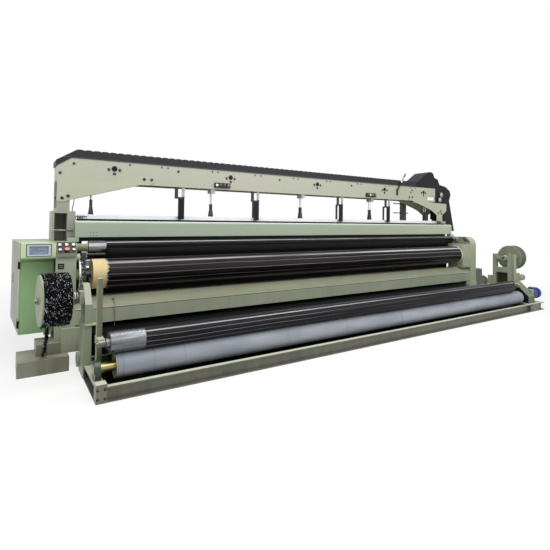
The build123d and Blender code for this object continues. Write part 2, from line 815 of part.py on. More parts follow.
def crossing_line(y0, z0, radius0, y1, z1, radius1):
    """The (y, z) ends of the line from the front of one circle to the back of another."""
    distance = ((y1 - y0) ** 2 + (z1 - z0) ** 2) ** 0.5
    along = atan2(z1 - z0, y1 - y0)
    turn = along - acos((radius0 + radius1) / distance)
    return [
        (y0 + radius0 * cos(turn), z0 + radius0 * sin(turn)),
        (y1 - radius1 * cos(turn), z1 - radius1 * sin(turn)),
    ]


def sheet_along(points, x0, x1):
    """A sheet of cloth that follows (y, z) points, drawn out along the loom."""
    wires = offset(Polyline(*[(x0, y, z) for y, z in points]), WEB_THICKNESS / 2)
    return extrude(make_face(wires), amount=x1 - x0, dir=(1, 0, 0))


def make_cloth_web():
    """The cloth between the rollers, and from the loom down to the batching stand."""
    clear = WEB_CLEARANCE + WEB_THICKNESS / 2 + CLOTH_THICKNESS
    x0, x1 = -inner + WEB_START, inner - TAKE_UP_CLOTH_END
    guide_radius = GUIDE_RADIUS + clear
    take_up_radius = TAKE_UP_RADIUS + clear
    upper = crossing_line(GUIDE_Y, GUIDE_Z, guide_radius, TAKE_UP_Y, TAKE_UP_Z, take_up_radius)
    rear = TAKE_UP_Y + take_up_radius
    nip_z = DRIVE_Z + DRIVE_RADIUS + BATCH_NIP / 2
    lower = [
        (rear, TAKE_UP_Z),
        (rear, BREAST_BOTTOM - WEB_DROP),
        (DRIVE_Y + WEB_NIP_GAP, nip_z),
    ]
    lower_left = -inner + LOWER_WEB_START
    keep("cloth_web", sheet_along(upper, x0, x1), sheet_along(lower, lower_left, x1))


def make_sley():
    """Rocking sley: shaft, swords, beam, reed and its cap."""
    half = inner - SLEY_END_GAP
    y = SLEY_Y
    top = SLEY_BEAM_BOTTOM + SLEY_BEAM_HEIGHT
    sley = block(
        -half, half, y - SLEY_BEAM_DEPTH / 2, y + SLEY_BEAM_DEPTH / 2, SLEY_BEAM_BOTTOM, top
    )
    sley += bar_x(-inner - FRAME_THICKNESS, inner + FRAME_THICKNESS, y, SLEY_SHAFT_Z, SLEY_SHAFT_RADIUS)
    pitch = (2 * half - SLEY_SWORD_WIDTH) / (SLEY_SWORDS - 1)
    for sword in range(SLEY_SWORDS):
        x0 = -half + sword * pitch
        foot = bar_x(x0, x0 + SLEY_SWORD_WIDTH, y, SLEY_SHAFT_Z, SLEY_SHAFT_RADIUS + 22)
        blade = section_x(
            [(y - 40, SLEY_SHAFT_Z), (y + 40, SLEY_SHAFT_Z), (y + 22, top - 30), (y - 22, top - 30)],
            x0,
            x0 + SLEY_SWORD_WIDTH,
        )
        sley += foot + blade
    reed = block(-half, half, y - REED_THICKNESS / 2, y + REED_THICKNESS / 2, top, REED_CAP_BOTTOM)
    cap = block(
        -half,
        half,
        y - REED_CAP_DEPTH / 2,
        y + REED_CAP_DEPTH / 2,
        REED_CAP_BOTTOM,
        REED_CAP_BOTTOM + REED_CAP_HEIGHT,
    )
    keep("sley", sley + reed + cap)


def heald_frame(y):
    """One heald frame with its stays, and the rods and clevises that lift it."""
    half = inner - HEALD_END_GAP
    y0, y1 = y - HEALD_THICKNESS / 2, y + HEALD_THICKNESS / 2
    bottom = HEALD_TOP - HEALD_HEIGHT
    frame = block(-half, half, y0, y1, bottom, HEALD_TOP)
    bay = (2 * half - HEALD_STILE) / HEALD_BAYS
    holes = [
        block(
            -half + HEALD_STILE + number * bay,
            -half + (number + 1) * bay,
            y0 - 1,
            y1 + 1,
            bottom + HEALD_RAIL,
            HEALD_TOP - HEALD_RAIL,
        )
        for number in range(HEALD_BAYS)
    ]
    frame = frame.cut(*holes)
    lifted = [frame]
    for number in range(ROD_COUNT):
        x = rod_first + number * rod_pitch
        clevis_top = HEALD_TOP + CLEVIS_HEIGHT
        clevis = section_y(
            [
                (x - CLEVIS_WIDTH / 2, HEALD_TOP),
                (x + CLEVIS_WIDTH / 2, HEALD_TOP),
                (x + SOCKET_RADIUS, clevis_top),
                (x - SOCKET_RADIUS, clevis_top),
            ],
            y0,
            y1,
        )
        clevis += bar_y(x, y0 - 3, y1 + 3, HEALD_TOP + 26, CLEVIS_PIN_RADIUS)
        clevis += bar_z(x, y, clevis_top, clevis_top + SOCKET_HEIGHT, SOCKET_RADIUS)
        clevis += bar_z(x, y, clevis_top + SOCKET_HEIGHT, ROD_TOP, ROD_RADIUS)
        lifted.append(clevis)
    return lifted


def make_healds():
    keep("heald_frame_front", *heald_frame(HEALD_Y))
    keep("heald_frame_rear", *heald_frame(HEALD_Y + HEALD_PITCH))


def make_heald_guides():
    """Blocks that guide the lifting rods and forks that guide the heald frames."""
    y0 = BRIDGE_FRONT + BRIDGE_SHEET
    y1 = HEALD_Y + HEALD_PITCH + 28
    bottom = BRIDGE_BOTTOM - ROD_BLOCK_HEIGHT
    solids = []
    for number in range(ROD_COUNT):
        x = rod_first + number * rod_pitch
        guide = block(x - ROD_BLOCK_WIDTH / 2, x + ROD_BLOCK_WIDTH / 2, y0, y1, bottom, BRIDGE_BOTTOM)
        for y in (HEALD_Y, HEALD_Y + HEALD_PITCH):
            guide -= bar_z(x, y, bottom - 1, BRIDGE_BOTTOM + 1, ROD_RADIUS + ROD_HOLE_CLEARANCE)
        solids.append(guide)
    middle = HEALD_Y + HEALD_PITCH / 2
    front = middle - FORK_SPREAD
    rear = middle + FORK_SPREAD
    for x in [rod_first + share * rod_pitch * (ROD_COUNT - 1) for share in FORK_SHARES]:
        drop = block(x - 72, x - 30, y0, y0 + 20, FORK_TOP_Z - 12, BRIDGE_BOTTOM)
        arm = block(x - 72, x + FORK_BAR / 2, y0, front, FORK_TOP_Z - 12, FORK_TOP_Z + 12)
        bars = block(x - FORK_BAR / 2 - 8, x + FORK_BAR / 2, front - 15, front, FORK_BOTTOM_Z, FORK_TOP_Z)
        bridge = block(x + 28, x + 62, y0, rear + 15, FORK_TOP_Z - 12, FORK_TOP_Z + 12)
        hanger = block(x + 28, x + 62, y0, y0 + 20, FORK_TOP_Z, BRIDGE_BOTTOM)
        link = block(x + FORK_BAR / 2, x + 28, y0, front, FORK_TOP_Z - 12, FORK_TOP_Z + 12)
        back = block(x + 28, x + 62, rear, rear + 15, FORK_BOTTOM_Z, FORK_TOP_Z)
        solids.append(drop + arm + bars + bridge + hanger + link + back)
    keep("heald_guides", *solids)


def bridge_panel(y_face, inward):
    """One long folded side of the bridge, its flanges turned inward."""
    y1 = y_face + inward * BRIDGE_SHEET
    y2 = y_face + inward * BRIDGE_FLANGE
    sheet = BRIDGE_SHEET
    outline = [
        (bridge_left, BRIDGE_BOTTOM),
        (bridge_right, BRIDGE_BOTTOM),
        (bridge_right, BRIDGE_TOP),
        (bridge_left + BRIDGE_CORNER_X, BRIDGE_TOP),
        (bridge_left, BRIDGE_TOP - BRIDGE_CORNER_Z),
    ]
    low, high = min(y_face, y1), max(y_face, y1)
    web = section_y(outline, low, high)
    flange_low, flange_high = min(y_face, y2), max(y_face, y2)
    flange_left = bridge_left + sheet
    web += block(
        flange_left, bridge_right, flange_low, flange_high, BRIDGE_BOTTOM, BRIDGE_BOTTOM + sheet
    )
    web += block(
        bridge_left + BRIDGE_CORNER_X,
        bridge_right,
        flange_low,
        flange_high,
        BRIDGE_TOP - sheet,
        BRIDGE_TOP,
    )
    notch_right = bridge_right - NOTCH_EDGE
    web -= block(
        notch_right - NOTCH_WIDTH, notch_right, flange_low - 1, flange_high + 1, NOTCH_BOTTOM, NOTCH_TOP
    )
    for x in ports:
        web -= bar_y(x, low - 1, high + 1, PORT_Z, PORT_RADIUS)
    return web


def make_bridge():
    """The two sides of the bridge, its end plate and its scalloped top cover."""
    front = bridge_panel(BRIDGE_FRONT, 1)
    end_top = BRIDGE_TOP - BRIDGE_CORNER_Z
    front += block(
        bridge_left,
        bridge_left + BRIDGE_SHEET,
        BRIDGE_FRONT + BRIDGE_SHEET,
        bridge_rear - BRIDGE_SHEET,
        BRIDGE_BOTTOM + 3,
        end_top,
    )
    keep("bridge_panels", front, bridge_panel(bridge_rear, -1))
    right = hood_left
    top = BRIDGE_TOP + COVER_HEIGHT
    left_top = bridge_left + BRIDGE_CORNER_X + 45
    outline = [
        (bridge_left, end_top),
        (bridge_left + BRIDGE_CORNER_X, BRIDGE_TOP),
        (right, BRIDGE_TOP),
        (right, top),
    ]
    count = int((right - left_top) / COVER_SCALLOP)
    pitch = (right - left_top) / count
    for number in range(count):
        x = right - number * pitch
        outline.append((x - pitch * 0.25, top + COVER_SCALLOP_DEPTH))
        outline.append((x - pitch * 0.75, top + COVER_SCALLOP_DEPTH))
        outline.append((x - pitch, top))
    outline.append((bridge_left - 14, end_top + 62))
    outline.append((bridge_left - 14, end_top))
    keep(
        "bridge_cover",
        section_y(outline, BRIDGE_FRONT - COVER_OVERHANG, bridge_rear + COVER_OVERHANG),
    )


def make_gussets():
    """Plates that stiffen the corners of the bridge, one pair in front and one behind."""
    left = [(bridge_left + x, BRIDGE_BOTTOM + z) for x, z in GUSSET_LEFT]
    right = [(bridge_right + x, BRIDGE_BOTTOM + z) for x, z in GUSSET_RIGHT]
    solids = []
    for points in (left, right):
        solids.append(section_y(points, BRIDGE_FRONT - GUSSET_THICKNESS, BRIDGE_FRONT))
        solids.append(section_y(points, bridge_rear, bridge_rear + GUSSET_THICKNESS))
    y0 = bridge_rear + GUSSET_THICKNESS
    x0 = bridge_right - HANGER_FROM_END
    x1 = x0 + HANGER_WIDTH
    hanger = block(x0, x1, y0, y0 + HANGER_DEPTH, HANGER_BOTTOM, HANGER_TOP)
    y = y0 + HANGER_DEPTH / 2
    hanger += bar_x(x0 - HANGER_BAR_REACH, x0, y, HANGER_HIGH_BAR, HANGER_BAR_RADIUS)
    hanger += bar_x(x0 - HANGER_BAR_REACH, x1 + HANGER_BAR_TAIL, y, HANGER_LOW_BAR, HANGER_BAR_RADIUS)
    keep("bridge_gussets", *solids, hanger)


def make_columns():
    """A channel with the bridge's post on the left frame, a column with a shelf on the right one."""
    y0, y1 = BRIDGE_FRONT - COLUMN_FRONT_REACH, bridge_rear
    base = block(-column_outer, -column_inner, y0, y1, FRAME_TOP, COLUMN_SHELF)
    base -= block(
        -column_outer + COLUMN_WALL,
        -column_inner - COLUMN_FLANGE,
        y0 - 1,
        y1 - COLUMN_WALL,
        FRAME_TOP,
        COLUMN_SHELF - COLUMN_WALL,
    )
    post_right = bridge_left + COLUMN_POST_WIDTH
    post = block(bridge_left, post_right, BRIDGE_FRONT, bridge_rear, COLUMN_SHELF, BRIDGE_BOTTOM)
    post -= block(
        bridge_left,
        post_right - POST_WALL,
        BRIDGE_FRONT + POST_RIM,
        bridge_rear - POST_RIM,
        COLUMN_SHELF + POST_SILL,
        BRIDGE_BOTTOM - POST_HEAD,
    )
    right = column_inner + RIGHT_COLUMN_WIDTH
    under = RIGHT_SHELF - COLUMN_WALL
    column = block(column_inner, right, y0, y1, FRAME_TOP, under)
    column += block(right - RIGHT_SHELF_REACH, right, y0, y1 + COLUMN_REAR_REACH, under, RIGHT_SHELF)
    keep("bridge_columns", base + post, column)


def make_end_hood():
    """Black guard over the shedding drive: a humped hood and a slanted leg."""
    right = bridge_right
    low = RIGHT_SHELF + HOOD_LEG_GAP
    outer_foot, inner_foot, heel = [right + x for x in HOOD_LEG]
    outline = [(hood_left, BRIDGE_TOP)]
    outline += [(right + x, BRIDGE_TOP + z) for x, z in HOOD_HUMP]
    outline += [(outer_foot, HOOD_LEG_BOTTOM), (inner_foot, HOOD_LEG_BOTTOM)]
    outline += [(inner_foot, low), (heel, low)]
    outline += [(right + x, BRIDGE_TOP + z) for x, z in HOOD_SHOULDER]
    inset = HOOD_INSET
    hood = section_y(outline, BRIDGE_FRONT + inset, bridge_rear - inset)
    for x, z in HOOD_DISCS:
        face = BRIDGE_FRONT - HOOD_DISC_REACH
        hood += bar_y(right + x, face, BRIDGE_FRONT + inset, BRIDGE_TOP + z, HOOD_DISC_RADIUS)
    keep("end_hood", hood)


def make_signal_lamp():
    """Stack of lenses on a bent arm."""
    y = BRIDGE_FRONT - COVER_OVERHANG - LAMP_RADIUS - 1
    lamp_x = bridge_right - LAMP_FROM_END
    foot = block(lamp_x - 12, lamp_x + 12, BRIDGE_FRONT - 24, BRIDGE_FRONT, LAMP_Z, LAMP_Z + LAMP_RISE)
    lens = Cylinder(LAMP_RADIUS, LAMP_LENGTH, align=(Align.CENTER, Align.CENTER, Align.MIN))
    stack = Pos(lamp_x, y, LAMP_Z + LAMP_RISE - 12) * Rot(0, LAMP_LEAN, 0) * lens
    keep("signal_lamp", foot + stack)


def make_stations():
    """Two push-button stations on the front of the bridge."""
    solids = []
    for x in (bridge_left + STATION_FIRST, bridge_right - STATION_LAST):
        y1 = BRIDGE_FRONT
        y0 = y1 - STATION_DEPTH
        z0, z1 = STATION_Z - STATION_HEIGHT / 2, STATION_Z + STATION_HEIGHT / 2
        box = block(x - STATION_WIDTH / 2, x + STATION_WIDTH / 2, y0, y1, z0, z1)
        pitch = STATION_WIDTH / STATION_BUTTONS
        for number in range(STATION_BUTTONS):
            button_x = x + (number - (STATION_BUTTONS - 1) / 2) * pitch
            box += bar_y(button_x, y0 - 12, y0, STATION_Z, 17)
        solids.append(box)
    keep("bridge_stations", *solids)


def make_cabinet():
    """Sheet cabinet flared to the back, with a door on two hinges."""
    right = -outer
    left = right - CABINET_WIDTH
    front, rear = CABINET_FRONT, CABINET_FRONT + CABINET_DEPTH
    sheet, flare = CABINET_SHEET, CABINET_FLARE
    plan = [(left, front), (right, front), (right, rear), (left - flare, rear)]
    room = [
        (left + sheet, front + sheet),
        (right - sheet, front + sheet),
        (right - sheet, rear - sheet),
        (left - flare + sheet, rear - sheet),
    ]
    shell = section_z(plan, CABINET_BOTTOM, CABINET_TOP)
    shell -= section_z(room, CABINET_BOTTOM + sheet, CABINET_TOP - sheet)
    rim = CABINET_RIM
    shell -= block(
        left + rim, right - rim, front - 1, front + sheet + 1, DOOR_BOTTOM + rim, DOOR_TOP - rim
    )
    shell += block(
        left + 30, right - sheet, rear - sheet - EQUIPMENT_DEPTH, rear - sheet, 420, CABINET_TOP - 80
    )
    hinge_x, hinge_y = left - 4, front - DOOR_GAP - DOOR_THICKNESS / 2
    for z in HINGE_Z:
        half = HINGE_HEIGHT / 2
        for z0 in (z - half, z + half - HINGE_LUG):
            lug = bar_z(hinge_x, hinge_y, z0, z0 + HINGE_LUG, HINGE_RADIUS)
            lug += block(hinge_x - 11, hinge_x + 2, hinge_y, front + 30, z0, z0 + HINGE_LUG)
            shell += lug - section_z(room, CABINET_BOTTOM, CABINET_TOP)
        shell += bar_z(hinge_x, hinge_y, z - half, z + half, HINGE_PIN_RADIUS)
    keep("control_cabinet", shell)

    door_front = front - DOOR_GAP - DOOR_THICKNESS
    door = block(left + 12, right - 6, door_front, front - DOOR_GAP, DOOR_BOTTOM, DOOR_TOP)
    door -= block(
        left + 12 + 16,
        right - 6 - 16,
        door_front + 6,
        front - DOOR_GAP,
        DOOR_BOTTOM + 20,
        DOOR_TOP - 20,
    )
    for z in HINGE_Z:
        knuckle_half = HINGE_HEIGHT / 2 - HINGE_LUG - 0.5
        knuckle = bar_z(hinge_x, hinge_y, z - knuckle_half, z + knuckle_half, HINGE_RADIUS)
        knuckle += block(
            hinge_x, left + 12, hinge_y - 6, hinge_y + 6, z - knuckle_half, z + knuckle_half
        )
        hole = HINGE_PIN_RADIUS + RUNNING_CLEARANCE
        door += knuckle - bar_z(hinge_x, hinge_y, z - half, z + half, hole)
    keep("cabinet_door", door)

    panel_front = front - HOOD_DEPTH
    hood = section_x(
        [
            (front, HOOD_BOTTOM),
            (panel_front + HOOD_CHIN, HOOD_BOTTOM),
            (panel_front, HOOD_BOTTOM + HOOD_CHIN),
            (panel_front + HOOD_LEAN, HOOD_TOP),
            (front, HOOD_TOP),
        ],
        left + HOOD_LEFT,
        right,
    )
    screen_x = (left + HOOD_LEFT + right) / 2
    lean = degrees(atan2(HOOD_LEAN, HOOD_TOP - HOOD_BOTTOM - HOOD_CHIN))
    screen_z = (HOOD_BOTTOM + HOOD_CHIN + HOOD_TOP) / 2
    face = Pos(screen_x, panel_front + HOOD_LEAN / 2, screen_z) * Rot(-lean, 0, 0)
    hood -= face * Box(BEZEL_WIDTH, 2 * BEZEL_RECESS, BEZEL_HEIGHT)
    hood -= face * Box(SCREEN_WIDTH, 2 * SCREEN_RECESS, SCREEN_HEIGHT)
    keep("screen_hood", hood)


def operator_box(x0, x1, front, depth, bottom, edge, top):
    """A desk-shaped box for push-buttons, its slope at 45 degrees."""
    outline = [
        (front, bottom),
        (front, edge),
        (front + top - edge, top),
        (front + depth, top),
        (front + depth, bottom),
    ]
    return section_x(outline, x0, x1)


def on_slope(x, front, edge, height):
    """A place on the sloped face of an operator box, its axis out of the face."""
    return Pos(x, front + height, edge + height) * Rot(45, 0, 0)


def push_button(cap_radius, cap_height):
    """A cap that stands its travel off the face, on a stem that runs into the box."""
    down = (Align.CENTER, Align.CENTER, Align.MAX)
    up = (Align.CENTER, Align.CENTER, Align.MIN)
    stem = Pos(0, 0, BUTTON_TRAVEL + 1) * Cylinder(
        BUTTON_STEM_RADIUS, BUTTON_STEM_LENGTH + BUTTON_TRAVEL + 1, align=down
    )
    cap = Pos(0, 0, BUTTON_TRAVEL + 1) * Cylinder(cap_radius, cap_height, align=up)
    return stem + cap


def make_operator_boxes():
    """One box on each side frame with its push-buttons, and a socket on the left frame."""
    left_x = -outer + OPERATOR_INSET
    front = FRAME_FRONT - OPERATOR_REACH
    middle = left_x + OPERATOR_WIDTH / 2
    rise = OPERATOR_TOP - OPERATOR_EDGE
    upper, lower = rise * 0.72, rise * 0.25
    right_end_x = inner - 10
    right_front = FRAME_FRONT - RIGHT_OPERATOR_REACH
    right_x = right_end_x - RIGHT_OPERATOR_WIDTH
    right_middle = right_x + RIGHT_OPERATOR_WIDTH / 2
    right_rise = (RIGHT_OPERATOR_TOP - RIGHT_OPERATOR_EDGE) / 2
    plain = (BUTTON_RADIUS, BUTTON_CAP)
    mushroom = (MUSHROOM_RADIUS, MUSHROOM_HEIGHT)
    buttons = {
        "button_top_left": (middle - BUTTON_PITCH, upper, plain),
        "button_top_middle": (middle, upper, plain),
        "button_top_right": (middle + BUTTON_PITCH, upper, plain),
        "button_bottom_left": (middle - BUTTON_PITCH, lower, plain),
        "emergency_stop": (middle, lower, mushroom),
        "button_bottom_right": (middle + BUTTON_PITCH, lower, plain),
    }
    hole = Cylinder(
        BUTTON_STEM_RADIUS + ROD_HOLE_CLEARANCE,
        2 * (BUTTON_STEM_LENGTH + BUTTON_TRAVEL + 3),
    )
    desk = operator_box(
        left_x,
        left_x + OPERATOR_WIDTH,
        front,
        OPERATOR_DEPTH,
        OPERATOR_BOTTOM,
        OPERATOR_EDGE,
        OPERATOR_TOP,
    )
    desk -= section_x(frame_outline(), -outer, -inner)
    for name, (x, height, cap) in buttons.items():
        place = on_slope(x, front, OPERATOR_EDGE, height)
        desk -= place * hole
        keep(name, place * push_button(*cap))
    right_desk = operator_box(
        right_x,
        right_end_x,
        right_front,
        RIGHT_OPERATOR_DEPTH,
        ROLLER_BOX_TOP,
        RIGHT_OPERATOR_EDGE,
        RIGHT_OPERATOR_TOP,
    )
    place = on_slope(right_middle, right_front, RIGHT_OPERATOR_EDGE, right_rise)
    right_desk -= place * hole
    keep("button_right_hand", place * push_button(*mushroom))
    socket_left = -outer + SOCKET_OFFSET
    socket = block(
        socket_left,
        socket_left + SOCKET_SIZE,
        FRAME_FRONT - SOCKET_THICKNESS,
        FRAME_FRONT,
        SOCKET_BOTTOM,
        SOCKET_BOTTOM + SOCKET_SIZE,
    )
    keep("operator_boxes", desk, right_desk, socket)


def make_warp_side():
    """Warp beam with its yarn, and the back rest roller."""
    y, z = WARP_Y, warp_z
    half = inner - WARP_END_GAP
    beam = bar_x(-outer + 30, outer - 30, y, z, WARP_SHAFT_RADIUS)
    beam += bar_x(-half, half, y, z, WARP_BARREL_RADIUS)
    for x in (-half, half - WARP_FLANGE_THICKNESS):
        beam += bar_x(x, x + WARP_FLANGE_THICKNESS, y, z, warp_flange_radius)
    keep("warp_beam", beam)
    yarn_half = half - WARP_FLANGE_THICKNESS
    yarn = bar_x(-yarn_half, yarn_half, y, z, warp_yarn_radius)
    keep("warp_yarn", yarn - bar_x(-half, half, y, z, WARP_BARREL_RADIUS))
    roller = bar_x(-inner + 40, inner - 40, BACK_REST_Y, back_rest_z, BACK_REST_RADIUS)
    shaft = bar_x(-outer + 30, outer - 30, BACK_REST_Y, back_rest_z, BACK_REST_SHAFT_RADIUS)
    keep("back_rest_roller", roller + shaft)


def make_stand_base():
    """The rectangle of channels that the batching rollers stand on."""
    front_web = SILL_FRONT + SILL_DEPTH
    rear_web = REAR_SILL_Y - SILL_DEPTH
    front = channel_x(sill_left, sill_right, SILL_FRONT, front_web, SILL_HEIGHT)
    rear = channel_x(sill_left, sill_right, REAR_SILL_Y, rear_web, SILL_HEIGHT)
    keep("cross_sills", front, rear)

    x0, x1 = sill_left - BEAM_WIDTH, sill_left
    corner_rear = SILL_FRONT + CORNER_DEPTH
    beam = block(x0, x1, corner_rear, FOOT_FRONT, 0, SILL_HEIGHT)
    beam -= block(x0, x1 - SILL_WEB, corner_rear, FOOT_FRONT, SILL_FLANGE, SILL_HEIGHT - SILL_FLANGE)
    corner = block(x0, x1, SILL_FRONT, corner_rear, 0, CORNER_HEIGHT)
    keep("left_sill_beam", beam + corner)

    x2 = sill_right + RIGHT_BOX_WIDTH
    x3 = x2 + RIGHT_FLANGE_REACH
    flange = SILL_FLANGE
    right = block(sill_right, x3, SILL_FRONT, FOOT_FRONT, 0, SILL_HEIGHT)
    right -= block(x2, x3, SILL_FRONT, FOOT_FRONT, flange, SILL_HEIGHT - flange)
    right -= block(
        sill_right + SILL_WEB, x2 - SILL_WEB, SILL_FRONT + 10, FOOT_FRONT, flange, SILL_HEIGHT - flange
    )
    keep("right_sill_beam", right)


def pillow_block(x0):
    """A plummer block with a rounded cap."""
    y, z = DRIVE_Y, DRIVE_Z
    housing = block(x0, x0 + PILLOW_WIDTH, y - PILLOW_HALF, y + PILLOW_HALF, SILL_HEIGHT, z)
    housing += bar_x(x0, x0 + PILLOW_WIDTH, y, z, PILLOW_HALF)
    return housing - bar_x(x0 - 1, x0 + PILLOW_WIDTH + 1, y, z, DRIVE_SHAFT_RADIUS + RUNNING_CLEARANCE)


def make_rollers():
    """The grey drive roller on its blocks and the batch roller that rests on it."""
    left_pillow = sill_left - PILLOW_WIDTH - PILLOW_INSET
    right_pillow = guard_left + 2 * GUARD_SHEET
    keep("roller_pillow_blocks", pillow_block(left_pillow), pillow_block(right_pillow))
    y, z = DRIVE_Y, DRIVE_Z
    drive_right = sill_right - DRIVE_END
    roller = bar_x(sill_left + DRIVE_START, drive_right, y, z, DRIVE_RADIUS)
    roller += bar_x(drive_right, drive_right + DRIVE_CAP_LENGTH, y, z, DRIVE_CAP_RADIUS)
    roller += bar_x(left_pillow - 6, right_pillow + PILLOW_WIDTH + 6, y, z, DRIVE_SHAFT_RADIUS)
    keep("drive_roller", roller)

    z = BATCH_Z
    left_post = sill_left - POST_WIDTH + LEFT_POST_SHIFT
    right_post = sill_right
    body_left = sill_left + BATCH_START
    body_right = sill_right - BATCH_END
    core = bar_x(body_left, body_right, y, z, BATCH_RADIUS)
    core += bar_x(body_left - BATCH_HUB_LENGTH, body_right + BATCH_HUB_LENGTH, y, z, BATCH_HUB_RADIUS)
    reach = CARRIAGE_WALL + 2
    core += bar_x(left_post - 3 * reach, right_post + POST_WIDTH + reach, y, z, BATCH_SHAFT_RADIUS)
    keep("batch_roller", core)
    cloth = bar_x(
        sill_left + BATCH_CLOTH_START, sill_right - BATCH_CLOTH_END, y, z, batch_cloth_radius
    )
    keep("batch_cloth", cloth - bar_x(body_left, body_right, y, z, BATCH_RADIUS))

    posts, carriages = [], []
    for x0 in (left_post, right_post):
        x1 = x0 + POST_WIDTH
        posts.append(block(x0, x1, POST_Y, POST_Y + POST_DEPTH, SILL_HEIGHT, POST_TOP))
        wall = CARRIAGE_WALL
        half = CARRIAGE_HEIGHT / 2
        rear = POST_Y + POST_DEPTH + wall
        carriage = block(x0 - wall, x1 + wall, y, rear, z - half, z + half)
        carriage += bar_x(x0 - wall, x1 + wall, y, z, CARRIAGE_REACH)
        gap = SLIDE_CLEARANCE
        carriage -= block(
            x0 - gap,
            x1 + gap,
            POST_Y - gap,
            POST_Y + POST_DEPTH + gap,
            z - half - 1,
            z + half + 1,
        )
        bore = BATCH_SHAFT_RADIUS + RUNNING_CLEARANCE
        carriage -= bar_x(x0 - wall - 1, x1 + wall + 1, y, z, bore)
        carriages.append(carriage)
    keep("guide_posts", *posts)
    keep("batch_carriages", *carriages)


def make_stand_drive():
    """Chain guard, gearbox and blue motor at the right end of the stand."""
    x0, x1 = guard_left, guard_left + GUARD_WIDTH
    sheet = GUARD_SHEET
    outline = [
        (GUARD_FRONT, SILL_HEIGHT),
        (GUARD_FRONT, GUARD_LOW),
        (GUARD_REAR - 60, GUARD_HIGH),
        (GUARD_REAR, GUARD_HIGH),
        (GUARD_REAR, SILL_HEIGHT),
    ]
    inside = [
        (GUARD_FRONT + sheet, SILL_HEIGHT),
        (GUARD_FRONT + sheet, GUARD_LOW - sheet / 2),
        (GUARD_REAR - 60 - sheet / 2, GUARD_HIGH - sheet),
        (GUARD_REAR - sheet, GUARD_HIGH - sheet),
        (GUARD_REAR - sheet, SILL_HEIGHT),
    ]
    guard = section_x(outline, x0, x1) - section_x(inside, x0 + sheet, x1 - sheet)
    guard -= bar_x(x0 - 1, x0 + sheet + 1, DRIVE_Y, DRIVE_Z, DRIVE_SHAFT_RADIUS + 6)
    keep("chain_guard", guard)

    box_end = x1 + GEARBOX_WIDTH
    half = GEARBOX_HALF
    gearbox = block(x1, box_end, MOTOR_Y - half, MOTOR_Y + half, SILL_HEIGHT, MOTOR_Z + half)
    gearbox = fillet(gearbox.edges().filter_by(Axis.X), 24)
    foot = half + 25
    gearbox += block(x1, box_end, MOTOR_Y - foot, MOTOR_Y + foot, SILL_HEIGHT, SILL_HEIGHT + 16)
    keep("drive_gearbox", gearbox)
    keep("drive_motor", finned_motor(box_end, MOTOR_LENGTH, MOTOR_Y, MOTOR_Z, MOTOR_RADIUS))


def finned_motor(x0, length, y, z, radius):
    """A flanged motor along the loom with ring fins, a terminal box and a fan cover."""
    motor = bar_x(x0, x0 + 18, y, z, radius + FIN_HEIGHT)
    motor += bar_x(x0 + 18, x0 + length - 60, y, z, radius - FIN_HEIGHT)
    ribbed = length - 78
    for fin in range(MOTOR_FINS):
        blade = Pos(x0 + 18 + ribbed / 2, y, z) * Rot(360 * fin / MOTOR_FINS, 0, 0)
        motor += blade * Box(ribbed, 9, 2 * radius)
    motor += bar_x(x0 + length - 60, x0 + length, y, z, radius + FIN_HEIGHT)
    top = z + radius
    motor += block(x0 + 50, x0 + 130, y - 38, y + 38, z, top + 22)
    return motor


def winding(x0, x1, radius):
    """A roll of waste selvedge about the x axis, its turns standing proud as ridges."""
    length = x1 - x0
    pitch = length / WINDING_RIDGES
    points = [(x0, REEL_CORE_RADIUS), (x0, radius - WINDING_RIDGE)]
    for ridge in range(WINDING_RIDGES):
        start = x0 + ridge * pitch
        points.append((start + pitch * 0.3, radius))
        points.append((start + pitch * 0.7, radius))
        points.append((start + pitch, radius - WINDING_RIDGE))
    points.append((x1, REEL_CORE_RADIUS))
    profile = make_face(Polyline(*[(x, 0, r) for x, r in points], close=True))
    return revolve(profile, Axis.X)


